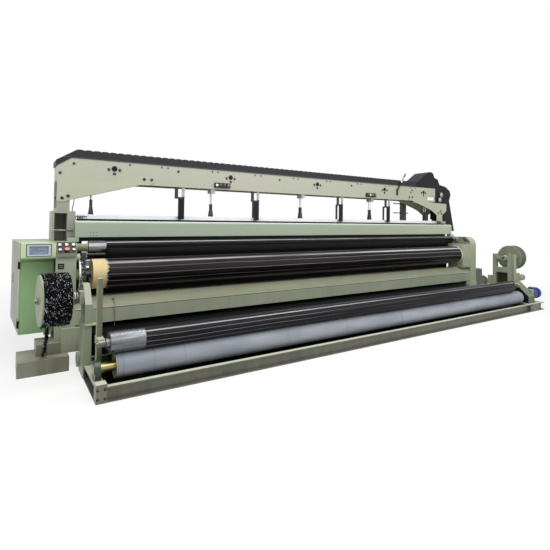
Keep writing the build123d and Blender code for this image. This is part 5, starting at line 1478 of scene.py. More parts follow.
@dataclass
class ClothPath:
    """The black cloth on its rollers, the open lengths between them and the yarn on the warp beam."""

    finishes: Finishes
    rolls: tuple[Roll, ...] = (
        Roll(
            "cloth_on_guide_roller", 50, 1192, 71.0, -3182, 3304, 6, Body.GUIDE, "guide_roller_cloth",
            CLOTH_FINE, folds=0.3
        ),
        Roll(
            "cloth_on_take_up_roller", -140, 915, 163.0, -3200, 3158, 34, Body.TAKE_UP, "take_up_cloth",
            CLOTH, folds=1.2
        ),
        Roll(
            "cloth_on_batch_roller", -1160, 428.2, 97.5, -3062, 3246, 4, Body.BATCH, "batch_cloth",
            CLOTH_LOOSE,
            fold_count=9,
        ),
        Roll(
            "yarn_on_warp_beam", 1180, 520, 320.0, -3315, 3315, 0, Body.WARP, "warp_yarn", YARN, "yarn",
            folds=0.4, fold_count=40,
        ),
    )
    around: int = 96
    along: int = 64
    thickness: float = 2.4
    lower: tuple[tuple[float, float], ...] = ((24.9, 915.0), (24.9, 366.0), (-1116.0, 330.4))
    upper_span: tuple[float, float] = (-3190.0, 3158.0)
    # The lower length reaches left past the cloth's edge, to -3370, as a black sheet painted where there is
    # only shade under the breast beam
    lower_span: tuple[float, float] = (-3370.0, 3158.0)

    def edge(self, roll: Roll, angle: float, chance: random.Random) -> float:
        """Says how far the torn left edge reaches past the cloth's straight edge."""
        wave = 0.35 + 0.3 * math.sin(3 * angle + 1.2) + 0.2 * math.sin(7 * angle)
        return roll.ragged * (0.5 * wave + 0.5 * chance.random())

    def wind(self, roll: Roll) -> bpy.types.Object:
        """Winds one roller: folds run along it, and its left edge is torn.

        Args:
            roll: the roller.

        Returns:
            The object.
        """
        chance = random.Random(roll.name)
        shape = Shape(roll.name)
        points: list[Point] = []
        edges = [self.edge(roll, 2 * math.pi * step / self.around, chance) for step in range(self.around)]
        phases = [chance.uniform(0, 2 * math.pi) for _ in range(4)]
        for ring in range(self.along + 1):
            share = ring / self.along
            for step in range(self.around):
                angle = 2 * math.pi * step / self.around
                start = roll.left - edges[step]
                x = start + (roll.right - start) * share
                drift = 0.5 * math.sin(x / 900 + phases[0]) + 0.3 * math.sin(x / 370 + phases[1])
                lift = math.sin(roll.fold_count * angle + drift + phases[2])
                slow = 0.5 * math.sin(5 * angle + x / 1300 + phases[3])
                lift = roll.folds * (max(lift, -0.2) + slow)
                radius = roll.radius + lift * 0.6
                points.append((x, roll.y + radius * math.sin(angle), roll.z + radius * math.cos(angle)))
        faces = []
        for ring in range(self.along):
            for step in range(self.around):
                following = (step + 1) % self.around
                a, b = ring * self.around, (ring + 1) * self.around
                faces.append((a + step, b + step, b + following, a + following))
        shape.put(points, faces, roll.finish, True)
        for first, outward in ((0, -1), (self.along * self.around, 1)):
            rim = points[first : first + self.around]
            inner = [(x, roll.y + (y - roll.y) * 0.962, roll.z + (z - roll.z) * 0.962) for x, y, z in rim]
            ring_faces = []
            for step in range(self.around):
                following = (step + 1) % self.around
                face = (step, following, self.around + following, self.around + step)
                ring_faces.append(face if outward < 0 else face[::-1])
            shape.put(rim + inner, ring_faces, roll.finish)
        if roll.ragged > 10:
            self.fray(shape, roll, edges, chance)
        piece = shape.object(self.finishes, roll.body, roll.slot)
        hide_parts(roll.node)
        return piece

    def fray(self, shape: Shape, roll: Roll, edges: list[float], chance: random.Random) -> None:
        """Adds the cut weft ends that stand out of the torn edge, some of them white."""
        for _ in range(210):
            angle = chance.uniform(0, 2 * math.pi)
            reach = edges[int(angle / (2 * math.pi) * self.around) % self.around]
            base = roll.left - reach + 5
            length = chance.uniform(8, 30)
            width = chance.uniform(0.006, 0.018) * 163 / roll.radius
            swing = chance.uniform(-0.05, 0.05)
            radius = roll.radius + 1.2
            spots = []
            for x, turn in ((base, angle - width), (base, angle + width), (base - length, angle + swing)):
                lift = chance.uniform(0.0, 3.0) if x < base else 0.0
                spots.append(
                    (x, roll.y + (radius + lift) * math.sin(turn), roll.z + (radius + lift) * math.cos(turn))
                )
            finish = WHITE_WASTE if chance.random() < 0.38 else roll.finish
            shape.put(spots, [(0, 1, 2), (2, 1, 0)], finish)

    def open_width(
        self, name: str, route: Sequence[tuple[float, float]], span: tuple[float, float]
    ) -> bpy.types.Object:
        """Makes an open length of cloth that hangs tight between two rollers.

        Args:
            name: the piece's name.
            route: its (y, z) line.
            span: its left and right edges.

        Returns:
            The object.
        """
        shape = Shape(name)
        spots: list[tuple[float, float]] = []
        for (y0, z0), (y1, z1) in zip(route, route[1:]):
            steps = max(2, int(math.dist((y0, z0), (y1, z1)) / 60))
            spots += [(y0 + (y1 - y0) * step / steps, z0 + (z1 - z0) * step / steps) for step in range(steps)]
        spots.append(route[-1])
        columns = 90
        points = []
        for number, (y, z) in enumerate(spots):
            for column in range(columns + 1):
                share = column / columns
                x = span[0] + (span[1] - span[0]) * share
                inward = 0.0 if number in (0, len(spots) - 1) else 1.0
                ripple = 1.1 * math.sin(x / 130) * math.sin(number * 0.7) * inward
                points.append((x, y, z + ripple))
        faces = []
        for row in range(len(spots) - 1):
            for column in range(columns):
                a = row * (columns + 1) + column
                b = a + columns + 1
                faces.append((a, a + 1, b + 1, b))
        shape.put(points, faces, CLOTH_FLAT, True)
        piece = shape.object(self.finishes, Body.LOOM, "black_cloth")
        thick = piece.modifiers.new("thickness", "SOLIDIFY")
        thick.thickness = self.thickness / 1000
        thick.offset = 0.0
        length = sum(math.dist(a, b) for a, b in zip(route, route[1:])) / 1000
        return piece

    def crossing(self) -> list[tuple[float, float]]:
        """Gives the line from the front of the guide roller's cloth to the back of the take-up's."""
        guide, take_up = self.rolls[0], self.rolls[1]
        near, far = guide.radius + 2.2, take_up.radius + 2.6
        distance = math.dist((guide.y, guide.z), (take_up.y, take_up.z))
        along = math.atan2(take_up.z - guide.z, take_up.y - guide.y)
        turn = along - math.acos((near + far) / distance)
        return [
            (guide.y + near * math.cos(turn), guide.z + near * math.sin(turn)),
            (take_up.y - far * math.cos(turn), take_up.z - far * math.sin(turn)),
        ]

    def build(self) -> None:
        """Builds every roll and the open lengths."""
        for roll in self.rolls:
            self.wind(roll)
        first = self.open_width("cloth_between_rollers", self.crossing(), self.upper_span)
        second = self.open_width("cloth_to_batching_stand", self.lower, self.lower_span)
        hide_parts("cloth_web")
        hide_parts("cloth_web")


@dataclass
class WasteReels:
    """The shaggy roll of cut selvedge on the left reel, the neat one on the right and the loose strand."""

    finishes: Finishes
    pivot: Point = (-3541.0, -630.0, 756.0)
    yaw_deg: float = 4.4
    start: float = -324.0
    end: float = -94.0
    core: float = 232.0
    right_axis: Point = (4086.0, -702.5, 866.0)
    whiskers: int = 2600
    strips: int = 5200
    curls: int = 620
    tail: tuple[Point, ...] = (
        (-3806.0, -650.0, 513.7),
        (-3806.0, -646.0, 462.0),
        (-3804.0, -588.0, 380.0),
        (-3808.0, -504.0, 292.0),
        (-3806.0, -424.0, 212.0),
        (-3810.0, -364.0, 170.0),
        (-3809.0, -322.0, 158.1),
    )
    tail_radius: float = 12.0

    def axis(self) -> Vector:
        """Gives the direction of the left reel's shaft."""
        return Vector((math.cos(math.radians(self.yaw_deg)), math.sin(math.radians(self.yaw_deg)), 0))

    def spot(self, along: float, angle: float, radius: float) -> Point:
        """Gives a point round the left reel's shaft."""
        axis = self.axis()
        side = Vector((-axis.y, axis.x, 0))
        place_at = Vector(self.pivot) + axis * along + (
            side * math.cos(angle) + UP * math.sin(angle)
        ) * radius
        return tuple(place_at)

    def strip(
        self,
        shape: Shape,
        chance: random.Random,
        finish: Finish,
        length: float,
        width: float,
        lift: float,
        near: tuple[float, float] | None = None,
    ) -> None:
        """Lays one curled strip of torn selvedge on the left roll.

        Args:
            shape: the roll's mesh.
            chance: the random numbers.
            finish: the strip's finish.
            length: its length.
            width: its width.
            lift: how far its middle stands off.
            near: the place along and the angle round the roll that it lies near, or anywhere.
        """
        along = chance.uniform(self.start + 4, self.end - 4) if near is None else near[0] + chance.gauss(0, 9)
        angle = chance.uniform(0, 2 * math.pi) if near is None else near[1] + chance.gauss(0, 0.05)
        heading = chance.gauss(0.0, 0.55) + (math.pi / 2 if chance.random() < 0.25 else 0.0)
        radius = self.core - 3 + chance.uniform(0, 7)
        points = []
        steps = 4
        for number in range(steps + 1):
            share = number / steps - 0.5
            arch = lift * (1 - 4 * share * share)
            run = length * share
            turn = angle + run * math.cos(heading) / self.core
            down = min(max(along + run * math.sin(heading), self.start), self.end)
            for side in (-0.5, 0.5):
                across = side * width * (1.2 - abs(share))
                points.append(
                    self.spot(
                        min(max(down + across * math.cos(heading), self.start), self.end),
                        turn - across * math.sin(heading) / self.core,
                        radius + arch + side * 1.5,
                    )
                )
        faces = [(2 * n, 2 * n + 1, 2 * n + 3, 2 * n + 2) for n in range(steps)]
        shape.put(points, faces, finish, True)

    def whisker(self, shape: Shape, chance: random.Random) -> None:
        """Stands one cut thread out of the left roll."""
        along = chance.uniform(self.start + 3, self.end - 3)
        angle = chance.uniform(0, 2 * math.pi)
        lean = chance.uniform(-0.09, 0.09)
        reach = chance.uniform(8, 18) + (12 if chance.random() < 0.25 else 0)
        wide = chance.uniform(3.0, 6.0)
        points = [
            self.spot(along - wide, angle, self.core),
            self.spot(along + wide, angle + lean / 4, self.core),
            self.spot(along + chance.uniform(-14, 14), angle + lean, self.core + reach),
        ]
        finish = WHITE_WASTE if chance.random() < 0.05 else BLACK_WASTE
        shape.put(points, [(0, 1, 2), (2, 1, 0)], finish)

    def left(self) -> bpy.types.Object:
        """Builds the shaggy roll."""
        chance = random.Random("left reel")
        shape = Shape("waste_on_left_reel")
        profile = []
        for number in range(15):
            share = number / 14
            swell = 5 * math.sin(share * math.pi * 7) ** 2 - 9 * abs(share - 0.5) ** 3
            profile.append((self.start + (self.end - self.start) * share, self.core + swell - 2))
        rings = 48
        points = []
        for distance, radius in profile:
            for step in range(rings):
                rough = chance.uniform(-4.5, 3.5)
                points.append(self.spot(distance, 2 * math.pi * step / rings, radius + rough))
        faces = []
        for ring in range(len(profile) - 1):
            for step in range(rings):
                following = (step + 1) % rings
                a, b = ring * rings, (ring + 1) * rings
                faces.append((a + step, a + following, b + following, b + step))
        shape.put(points, faces, BLACK_WASTE, True)
        last = (len(profile) - 1) * rings
        shape.put(points[last:], [tuple(range(rings))], BLACK_WASTE)
        shape.put(points[:rings], [tuple(range(rings))[::-1]], BLACK_WASTE)
        for _ in range(self.strips):
            self.strip(
                shape, chance, BLACK_WASTE, chance.uniform(22, 60), chance.uniform(3, 8),
                chance.uniform(0, 11)
            )
        for _ in range(self.curls):
            near = (chance.uniform(self.start + 8, self.end - 8), chance.uniform(0, 2 * math.pi))
            for _ in range(chance.choice((1, 1, 2, 4))):
                long, wide, lift = chance.uniform(6, 24), chance.uniform(1.2, 3.2), chance.uniform(5, 12)
                self.strip(shape, chance, WHITE_WASTE, long, wide, lift, near)
        for _ in range(self.whiskers):
            self.whisker(shape, chance)
        piece = shape.object(self.finishes, Body.REEL_LEFT, "black_waste")
        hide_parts("waste_winding_left")
        return piece

    def right(self) -> bpy.types.Object:
        """Builds the neat roll: pale tape laid side by side in flat turns."""
        shape = Shape("waste_on_right_reel")
        x0, y, z = self.right_axis
        profile = [(13.0, 62.0)]
        for turn in range(18):
            start = 13.0 + turn * 9.0
            profile += [
                (start + 0.6, 214.0), (start + 2.4, 219.6), (start + 6.6, 219.6), (start + 8.4, 214.0)
            ]
        profile.append((175.0, 62.0))
        shape.lathe(profile, (x0, y, z), X_AXIS, PALE_WASTE, 64, closed=False)
        piece = shape.object(self.finishes, Body.REEL_RIGHT, "pale_waste")
        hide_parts("waste_winding_right")
        return piece

    def strand(self) -> None:
        """Hangs the loose strand of waste, with a fuzz of fibres on it."""
        curve = bpy.data.curves.new("selvedge_strand", "CURVE")
        curve.dimensions = "3D"
        curve.bevel_depth = self.tail_radius / 1000
        curve.bevel_resolution = 3
        curve.use_fill_caps = True
        line = curve.splines.new("NURBS")
        line.points.add(len(self.tail) - 1)
        for point, spot in zip(line.points, self.tail):
            point.co = (*place(*spot), 1.0)
        line.order_u = 3
        line.use_endpoint_u = True
        curve.materials.append(self.finishes.get(BLACK_WASTE))
        piece = bpy.data.objects.new("selvedge_strand", curve)
        bpy.context.scene.collection.objects.link(piece)
        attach(piece, Body.LOOM.value)
        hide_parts("selvedge_tail")
        chance = random.Random("strand")
        fuzz = Shape("strand_fuzz")
        for _ in range(1100):
            number = chance.randrange(0, len(self.tail) - 2)
            share = chance.random()
            a, b = Vector(self.tail[number]), Vector(self.tail[number + 1])
            base = a.lerp(b, share)
            out = Vector((chance.gauss(0, 1), chance.gauss(0, 1), chance.gauss(-0.3, 1))).normalized()
            side = out.orthogonal().normalized() * 2.4
            tip = base + out * chance.uniform(14, 34)
            finish = WHITE_WASTE if chance.random() < 0.1 else BLACK_WASTE
            spots = [tuple(base + out * 5 - side), tuple(base + out * 5 + side), tuple(tip)]
            fuzz.put(spots, [(0, 1, 2), (2, 1, 0)], finish)
        cover = fuzz.object(self.finishes, Body.LOOM, "black_waste")
        length = sum((Vector(b) - Vector(a)).length for a, b in zip(self.tail, self.tail[1:])) / 1000
        tuple(place(*self.tail[0]))

    def build(self) -> None:
        """Builds both rolls and the strand."""
        self.left()
        self.right()
        self.strand()


@dataclass
class BridgeTrim:
    """Bolts, screws, push buttons and the signal lamp of the overhead bridge."""

    finishes: Finishes
    face_y: float = 380.0
    gusset_y: float = 372.0
    ports: tuple[float, ...] = (-3034, -1429, 176, 1781, 2910)
    port_z: float = 2138.0
    port_radius: float = 27.0
    screws: tuple[float, ...] = (
        -2849, -2439, -2358, -1716, -1631, -1022, -917, -312, -223, 371, 459, 1087, 1172, 1804, 1900, 2528,
        2648,
    )
    screw_z: float = 2200.0
    lug_bolts: tuple[tuple[float, float], ...] = (
        (-3490, 2164), (-3634, 2044), (-2215, 2164), (-580, 2160), (940, 2158), (2560, 2162), (2520, 2120),
    )
    gusset_bolts: tuple[tuple[float, float], ...] = (
        (-2670, 2029), (-2574, 2029), (-3608, 1752), (-3546, 1778), (2470, 2024), (2559, 2028),
        (3447, 1774), (3380, 1730), (3480, 1722),
    )
    forks: tuple[float, ...] = (-2180, -1000, 694, 1880)
    fork_cover: tuple[float, float] = (17.5, 60.0)
    fork_face_y: float = 387.0
    fork_span: tuple[float, float] = (1524.0, 1800.0)
    notch_liner: tuple[Point, Point] = ((3044.0, 396.0, 1983.0), (3262.0, 399.0, 2066.0))
    stations: tuple[float, ...] = (-1566, 1412)
    station_z: float = 2014.0
    station_pitch: float = 60.0
    lamp_foot: Point = (2112.0, 368.0, 2056.0)
    lamp_bend: Point = (2112.0, 358.0, 2144.0)
    lamp_lean_deg: float = 35.0
    discs: tuple[tuple[float, float], ...] = ((3479, 2110), (3429, 2003))

    def fasteners(self) -> None:
        """Adds the bearing bolts round each port, the cover's screws and the gussets' bolts."""
        shape = Shape("bridge_fasteners")
        for port in self.ports:
            middle = (port, self.face_y, self.port_z)
            ring = [
                (0, self.port_radius + 7), (3, self.port_radius + 7), (3, self.port_radius + 2),
                (1, self.port_radius),
            ]
            shape.lathe(ring, middle, FRONT, BLACK_ABS, 32, closed=False)
            # A black disc closes each port, as painted shade of the open port
            shape.lathe([(0.4, self.port_radius + 1), (0.8, self.port_radius)], middle, FRONT, BLACK_ABS, 32)
            for dx, dz in ((-64, -14), (64, -14), (0, -62)):
                shape.bolt((port + dx, self.face_y, self.port_z + dz), FRONT, 13, BLACK_BOLT, BLACK_BOLT)
                shape.bolt(
                    (port + dx * 0.99, self.face_y - 11, self.port_z + dz), FRONT, 5, BRIGHT_ZINC, BLACK_BOLT
                )
        for x in self.screws:
            shape.bolt((x, self.face_y, self.screw_z), FRONT, 8, BLACK_BOLT, BLACK_BOLT)
        for x, z in self.lug_bolts:
            shape.bolt((x, self.face_y, z), FRONT, 12, BLACK_BOLT, IRON)
        for x, z in self.gusset_bolts:
            shape.bolt((x, self.gusset_y, z), FRONT, 14, BLACK_BOLT, IRON)
        shape.object(self.finishes, Body.LOOM, "steel")

    def buttons(self) -> None:
        """Adds the coloured caps of the two push-button stations and the lip round each box."""
        shape = Shape("station_caps")
        colours = ((WHITE_CAP, BLACK_CAP, BLACK_CAP, RED_CAP), (BLACK_CAP, WHITE_CAP, GREEN_CAP, RED_CAP))
        for middle, caps in zip(self.stations, colours):
            for number, cap in enumerate(caps):
                x = middle + (number - 1.5) * self.station_pitch
                shape.lathe(
                    [(25.5, 21), (29, 21), (30, 19.5), (30, 17.5)], (x, self.face_y, self.station_z), FRONT,
                    STEEL_BAR, 28, closed=False
                )
                shape.lathe(
                    [(27, 17.6), (37.5, 17.6), (39, 15.5), (39.4, 8)], (x, self.face_y, self.station_z),
                    FRONT, cap, 28
                )
        shape.object(self.finishes, Body.LOOM, "black_plastic")

    def lamp(self) -> None:
        """Builds the signal lamp: bent black arm and five lenses, each on its rim."""
        shape = Shape("signal_lamp_stack")
        lean = Vector(
            (math.sin(math.radians(self.lamp_lean_deg)), 0, math.cos(math.radians(self.lamp_lean_deg)))
        )
        bend = Vector(self.lamp_bend)
        route = [Vector(self.lamp_foot), Vector((2112, 366, 2100)), bend]
        route += [bend + lean * 40, bend + lean * 182]
        shape.plate((2100, 354, 2046), (2124, 380, 2156), BLACK_ABS, 3)
        shape.tube([tuple(spot) for spot in route], 13, BLACK_ABS, 14)
        reach = 180.0
        for finish, size in (
            (WHITE_CAP, 30), (GREEN_CAP, 40), (ORANGE_LENS, 46), (BLUE_LENS, 50), (RED_LENS, 46),
        ):
            base = bend + lean * reach
            shape.lathe(
                [(0, 15.2), (2, 15.2), (3, 14.2), (size - 4, 14.2), (size - 3, 15.2), (size - 0.5, 15.2)],
                tuple(base), lean, finish, 24
            )
            reach += size
        shape.lathe([(0, 14.8), (4, 13.5), (7, 8)], tuple(bend + lean * (reach - 0.5)), lean, RED_LENS, 24)
        piece = shape.object(self.finishes, Body.LOOM, "lamp_plastic")
        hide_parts("signal_lamp")

    def hood_discs(self) -> None:
        """Caps the two shaft ends that show on the black hood."""
        shape = Shape("hood_shaft_caps")
        for x, z in self.discs:
            profile = [(12, 50), (15, 50), (17, 46), (17, 30), (22, 28), (22, 10)]
            shape.lathe(profile, (x, self.face_y, z), FRONT, GREY_ABS, 36)
            for number in range(4):
                angle = math.radians(45 + 90 * number)
                spot = (x + 38 * math.cos(angle), self.face_y - 17, z + 38 * math.sin(angle))
                shape.bolt(spot, FRONT, 5, ZINC, IRON)
        shape.object(self.finishes, Body.LOOM, "grey_paint")

    def end_strips(self) -> None:
        """Adds black plates as painted shade in the left post's slots, and the cable behind it."""
        shape = Shape("left_post_slots")
        shape.plate((-3666.5, 430, 1765), (-3663.5, 690, 1952), BLACK_SHEET, 1)
        shape.plate((-3666.5, 430, 1645), (-3663.5, 690, 1735), BLACK_SHEET, 1)
        shape.tube(
            [(-3472, 440, 1760), (-3476, 440, 1700), (-3488, 441, 1640), (-3492, 442, 1566)], 4.5, BLACK_ABS,
            8
        )
        shape.tube([(-3722, 356, 1380), (-3600, 355, 1378), (-3494, 356, 1372)], 5, DRAWN_ROD, 8)
        shape.object(self.finishes, Body.LOOM, "black_sheet")

    def fork_covers(self) -> None:
        """Widens the front strip of each fork to the right with its black cover."""
        shape = Shape("fork_covers")
        left, right = self.fork_cover
        bottom, top = self.fork_span
        for x in self.forks:
            low = (x + left, self.fork_face_y, bottom)
            high = (x + right, self.fork_face_y + 12, top)
            shape.plate(low, high, BLACK_ABS, 2)
        shape.object(self.finishes, Body.LOOM, "black_plastic")

    def liner(self) -> None:
        """Lines the notch at the bridge's right end with its bright plate."""
        shape = Shape("notch_liner")
        shape.plate(*self.notch_liner, WHITE_SHEET, 1)
        shape.object(self.finishes, Body.LOOM, "sage_paint")

    def build(self) -> None:
        """Builds every fitting."""
        self.fork_covers()
        self.liner()
        self.fasteners()
        self.buttons()
        self.lamp()
        self.hood_discs()
        self.end_strips()


@dataclass
class CabinetTrim:
    """Screen, hinges, slots and the socket of the control cabinet and the operator box."""

    finishes: Finishes
    hood_left: float = -4013.0
    hood_right: float = -3710.0
    hood_front: float = -255.0
    lean: float = 12.0
    bottom: float = 1119.0
    top: float = 1258.0
    bezel: tuple[float, float] = (224.0, 128.0)
    glass: tuple[float, float] = (157.0, 70.0)

    def screen(self) -> None:
        """Builds the display: a bevelled bezel round a pale glass with soft fields on it."""
        shape = Shape("display")
        middle_x = (self.hood_left + self.hood_right) / 2
        middle_z = (self.bottom + self.top) / 2
        tilt = Matrix.Rotation(math.atan2(self.lean, self.top - self.bottom) * -1, 3, "X")
        centre = Vector((middle_x, self.hood_front + self.lean / 2, middle_z))

        def bar(
            x0: float, x1: float, z0: float, z1: float, back: float, front: float, finish: Finish
        ) -> None:
            """Adds one flat bar of the display's face."""
            half = Vector(((x1 - x0) / 2, (front - back) / 2, (z1 - z0) / 2))
            offset = tilt @ Vector(((x0 + x1) / 2, -(front + back) / 2, (z0 + z1) / 2))
            low = centre + offset - half
            high = centre + offset + half
            shape.plate(tuple(low), tuple(high), finish, 1.2, tilt)

        wide, tall = self.bezel[0] / 2 - 1, self.bezel[1] / 2 - 1
        pane_wide, pane_tall = 84.0, 42.0
        for rim, inner_wide, inner_tall, front, finish in (
            (0.0, wide - 7, tall - 7, 2.6, BEZEL),
            (7.0, pane_wide, pane_tall, 1.4, PALE_BEZEL),
        ):
            outer_wide, outer_tall = wide - rim, tall - rim
            bar(-outer_wide, outer_wide, inner_tall, outer_tall, -3.5, front, finish)
            bar(-outer_wide, outer_wide, -outer_tall, -inner_tall, -3.5, front, finish)
            bar(-outer_wide, -inner_wide, -inner_tall, inner_tall, -3.5, front, finish)
            bar(inner_wide, outer_wide, -inner_tall, inner_tall, -3.5, front, finish)
        bar(-pane_wide, pane_wide, -pane_tall, pane_tall, -7.0, -1.5, SCREEN)
        shape.object(self.finishes, Body.LOOM, "grey_paint")

    def fittings(self) -> None:
        """Adds the slots and the hinge leaves on the cabinet's left side."""
        shape = Shape("cabinet_fittings")
        for y, low, high in ((690, 760, 880), (60, 400, 470), (60, 995, 1065)):
            x = -4021 - 60 * (y + 50) / 1000
            shape.plate((x - 3.5, y - 14, low), (x + 2, y + 14, high), BLACK_ABS, 1.2)
        for z in (430, 1028):
            shape.plate((-4031, -80, z - 34), (-4022, -46, z + 34), BLACK_ABS, 2)
            shape.lathe([(-36, 9), (-34, 11.5), (34, 11.5), (36, 9)], (-4026, -64, z), UP, BLACK_ABS, 16)
        shape.object(self.finishes, Body.LOOM, "black_plastic")

    def socket(self) -> None:
        """Builds the face of the socket: a rim and four pale openings."""
        shape = Shape("socket_face")
        x, z, y = -3664.0, 1021.0, -258.0
        shape.plate((x - 27, y - 2, z - 27), (x + 27, y + 1, z + 27), BLACK_ABS, 1.5)
        for dx, dz in ((-9, -9), (9, -9), (-9, 9), (9, 9)):
            shape.lathe([(1.6, 5.4), (2.8, 5.4), (3.1, 4.4)], (x + dx, y, z + dz), FRONT, GREY_ABS, 14)
        shape.object(self.finishes, Body.LOOM, "black_plastic")

    def build(self) -> None:
        """Builds every fitting."""
        self.screen()
        self.fittings()
        self.socket()


@dataclass
class LoomTrim:
    """Small steel parts on the loom's front: journals, clamps, hook rod, bolts and marks."""

    finishes: Finishes
    guide: tuple[float, float] = (50.0, 1192.0)
    take_up: tuple[float, float] = (-140.0, 915.0)

    def sleeve(self) -> None:
        """Slides the painted sleeve over the guide roller's left journal."""
        shape = Shape("guide_roller_sleeve")
        y, z = self.guide
        shape.lathe(
            [
                (-3480, 38), (-3478, 42), (-3386, 42), (-3384, 50), (-3372, 50), (-3370, 46)
            ], (0, y, z), X_AXIS, STAND_SAGE, 32
        )
        shape.object(self.finishes, Body.GUIDE, "sage_paint")

    def clamps(self) -> None:
        """Adds the bearing cap with its bolts and the levers beside the take-up gear."""
        shape = Shape("take_up_clamps")
        y, z = self.take_up
        chance = random.Random("clamps")
        shape.bolt_ring((-3481.5, y, z), 47, 20, 6, X_AXIS, 7)
        for x, ring, first, last, radius, finish, turns in (
            (-3492, 196, 60, 236, 9, BRIGHT_ZINC, 10),
            (-3478, 172, 80, 300, 7, STEEL_BAR, 8),
        ):
            route = [around((x, y, z), ring, math.radians(a)) for a in range(first, last, 11)]
            shape.tube(route, radius, finish, turns)
        lever_reach, lever_lean = 30, 0.14
        for number in range(9):
            angle = math.radians(100 + 17 * number)
            radius = 160 + chance.uniform(-16, 34)
            shape.bolt(around((-3470, y, z), radius, angle), X_AXIS, 9, ZINC, IRON)
            foot = around((-3474, y, z), radius, angle)
            head = around((-3482, y, z), radius + lever_reach, angle + lever_lean)
            shape.tube([foot, head], 5, STEEL_BAR, 8)
        shape.object(self.finishes, Body.LOOM, "steel")

    def hook(self) -> None:
        """Hangs the hooked rod from the breast beam's slope."""
        shape = Shape("hook_rod")
        shape.tube(
            [
                (-3136, -176, 640), (-3132, -197, 618), (-3130, -240, 580), (-3130, -258, 552),
                (-3131, -262, 470),
                (-3133, -263, 400), (-3134, -264, 360), (-3128, -266, 346), (-3118, -266, 350),
            ],
            4,
            STEEL_BAR,
            8,
        )
        shape.bolt((-3136, -180, 632), Vector((0, -0.68, 0.73)), 9, ZINC, IRON)
        shape.tube(
            [(-3136 + 9 * math.cos(a * 0.7), -262, 556 + 9 * math.sin(a * 0.7)) for a in range(10)], 2.5,
            STEEL_BAR, 6
        )
        shape.object(self.finishes, Body.LOOM, "steel")

    def marks(self) -> None:
        """Adds the screws at the left of the fascia and on the ends of the right frame."""
        shape = Shape("front_screws")
        for column in range(3):
            for row in range(2):
                shape.bolt((-3328 + column * 33, 140, 1356 - 36 * row), FRONT, 4.0, IRON, IRON)
        for x, z in ((3488, 1062), (3500, 1010), (3496, 760), (3300, 700), (3490, 700)):
            shape.bolt((x, -250, z), FRONT, 7, ZINC, IRON)
        for x in range(-3300, 3301, 660):
            shape.bolt((x, -66, 667), UP, 8, ZINC, IRON)
        shape.object(self.finishes, Body.LOOM, "steel")

    def left_levers(self) -> None:
        """Adds the small levers at the left end of the heald rails."""
        shape = Shape("heald_end_levers")
        for number in range(4):
            x = -3460 + 26 * number
            shape.plate((x, 424, 1500), (x + 9, 434, 1545 + 6 * (number % 2)), IRON, 1.5)
            shape.bolt((x + 4, 424, 1536), FRONT, 7, ZINC, IRON)
        shape.tube([(-3470, 420, 1541), (-3400, 419, 1546), (-3330, 420, 1542)], 6, STEEL_BAR, 8)
        shape.object(self.finishes, Body.LOOM, "steel")

    def build(self) -> None:
        """Builds every fitting."""
        self.sleeve()
        self.clamps()
        self.hook()
        self.marks()
        self.left_levers()


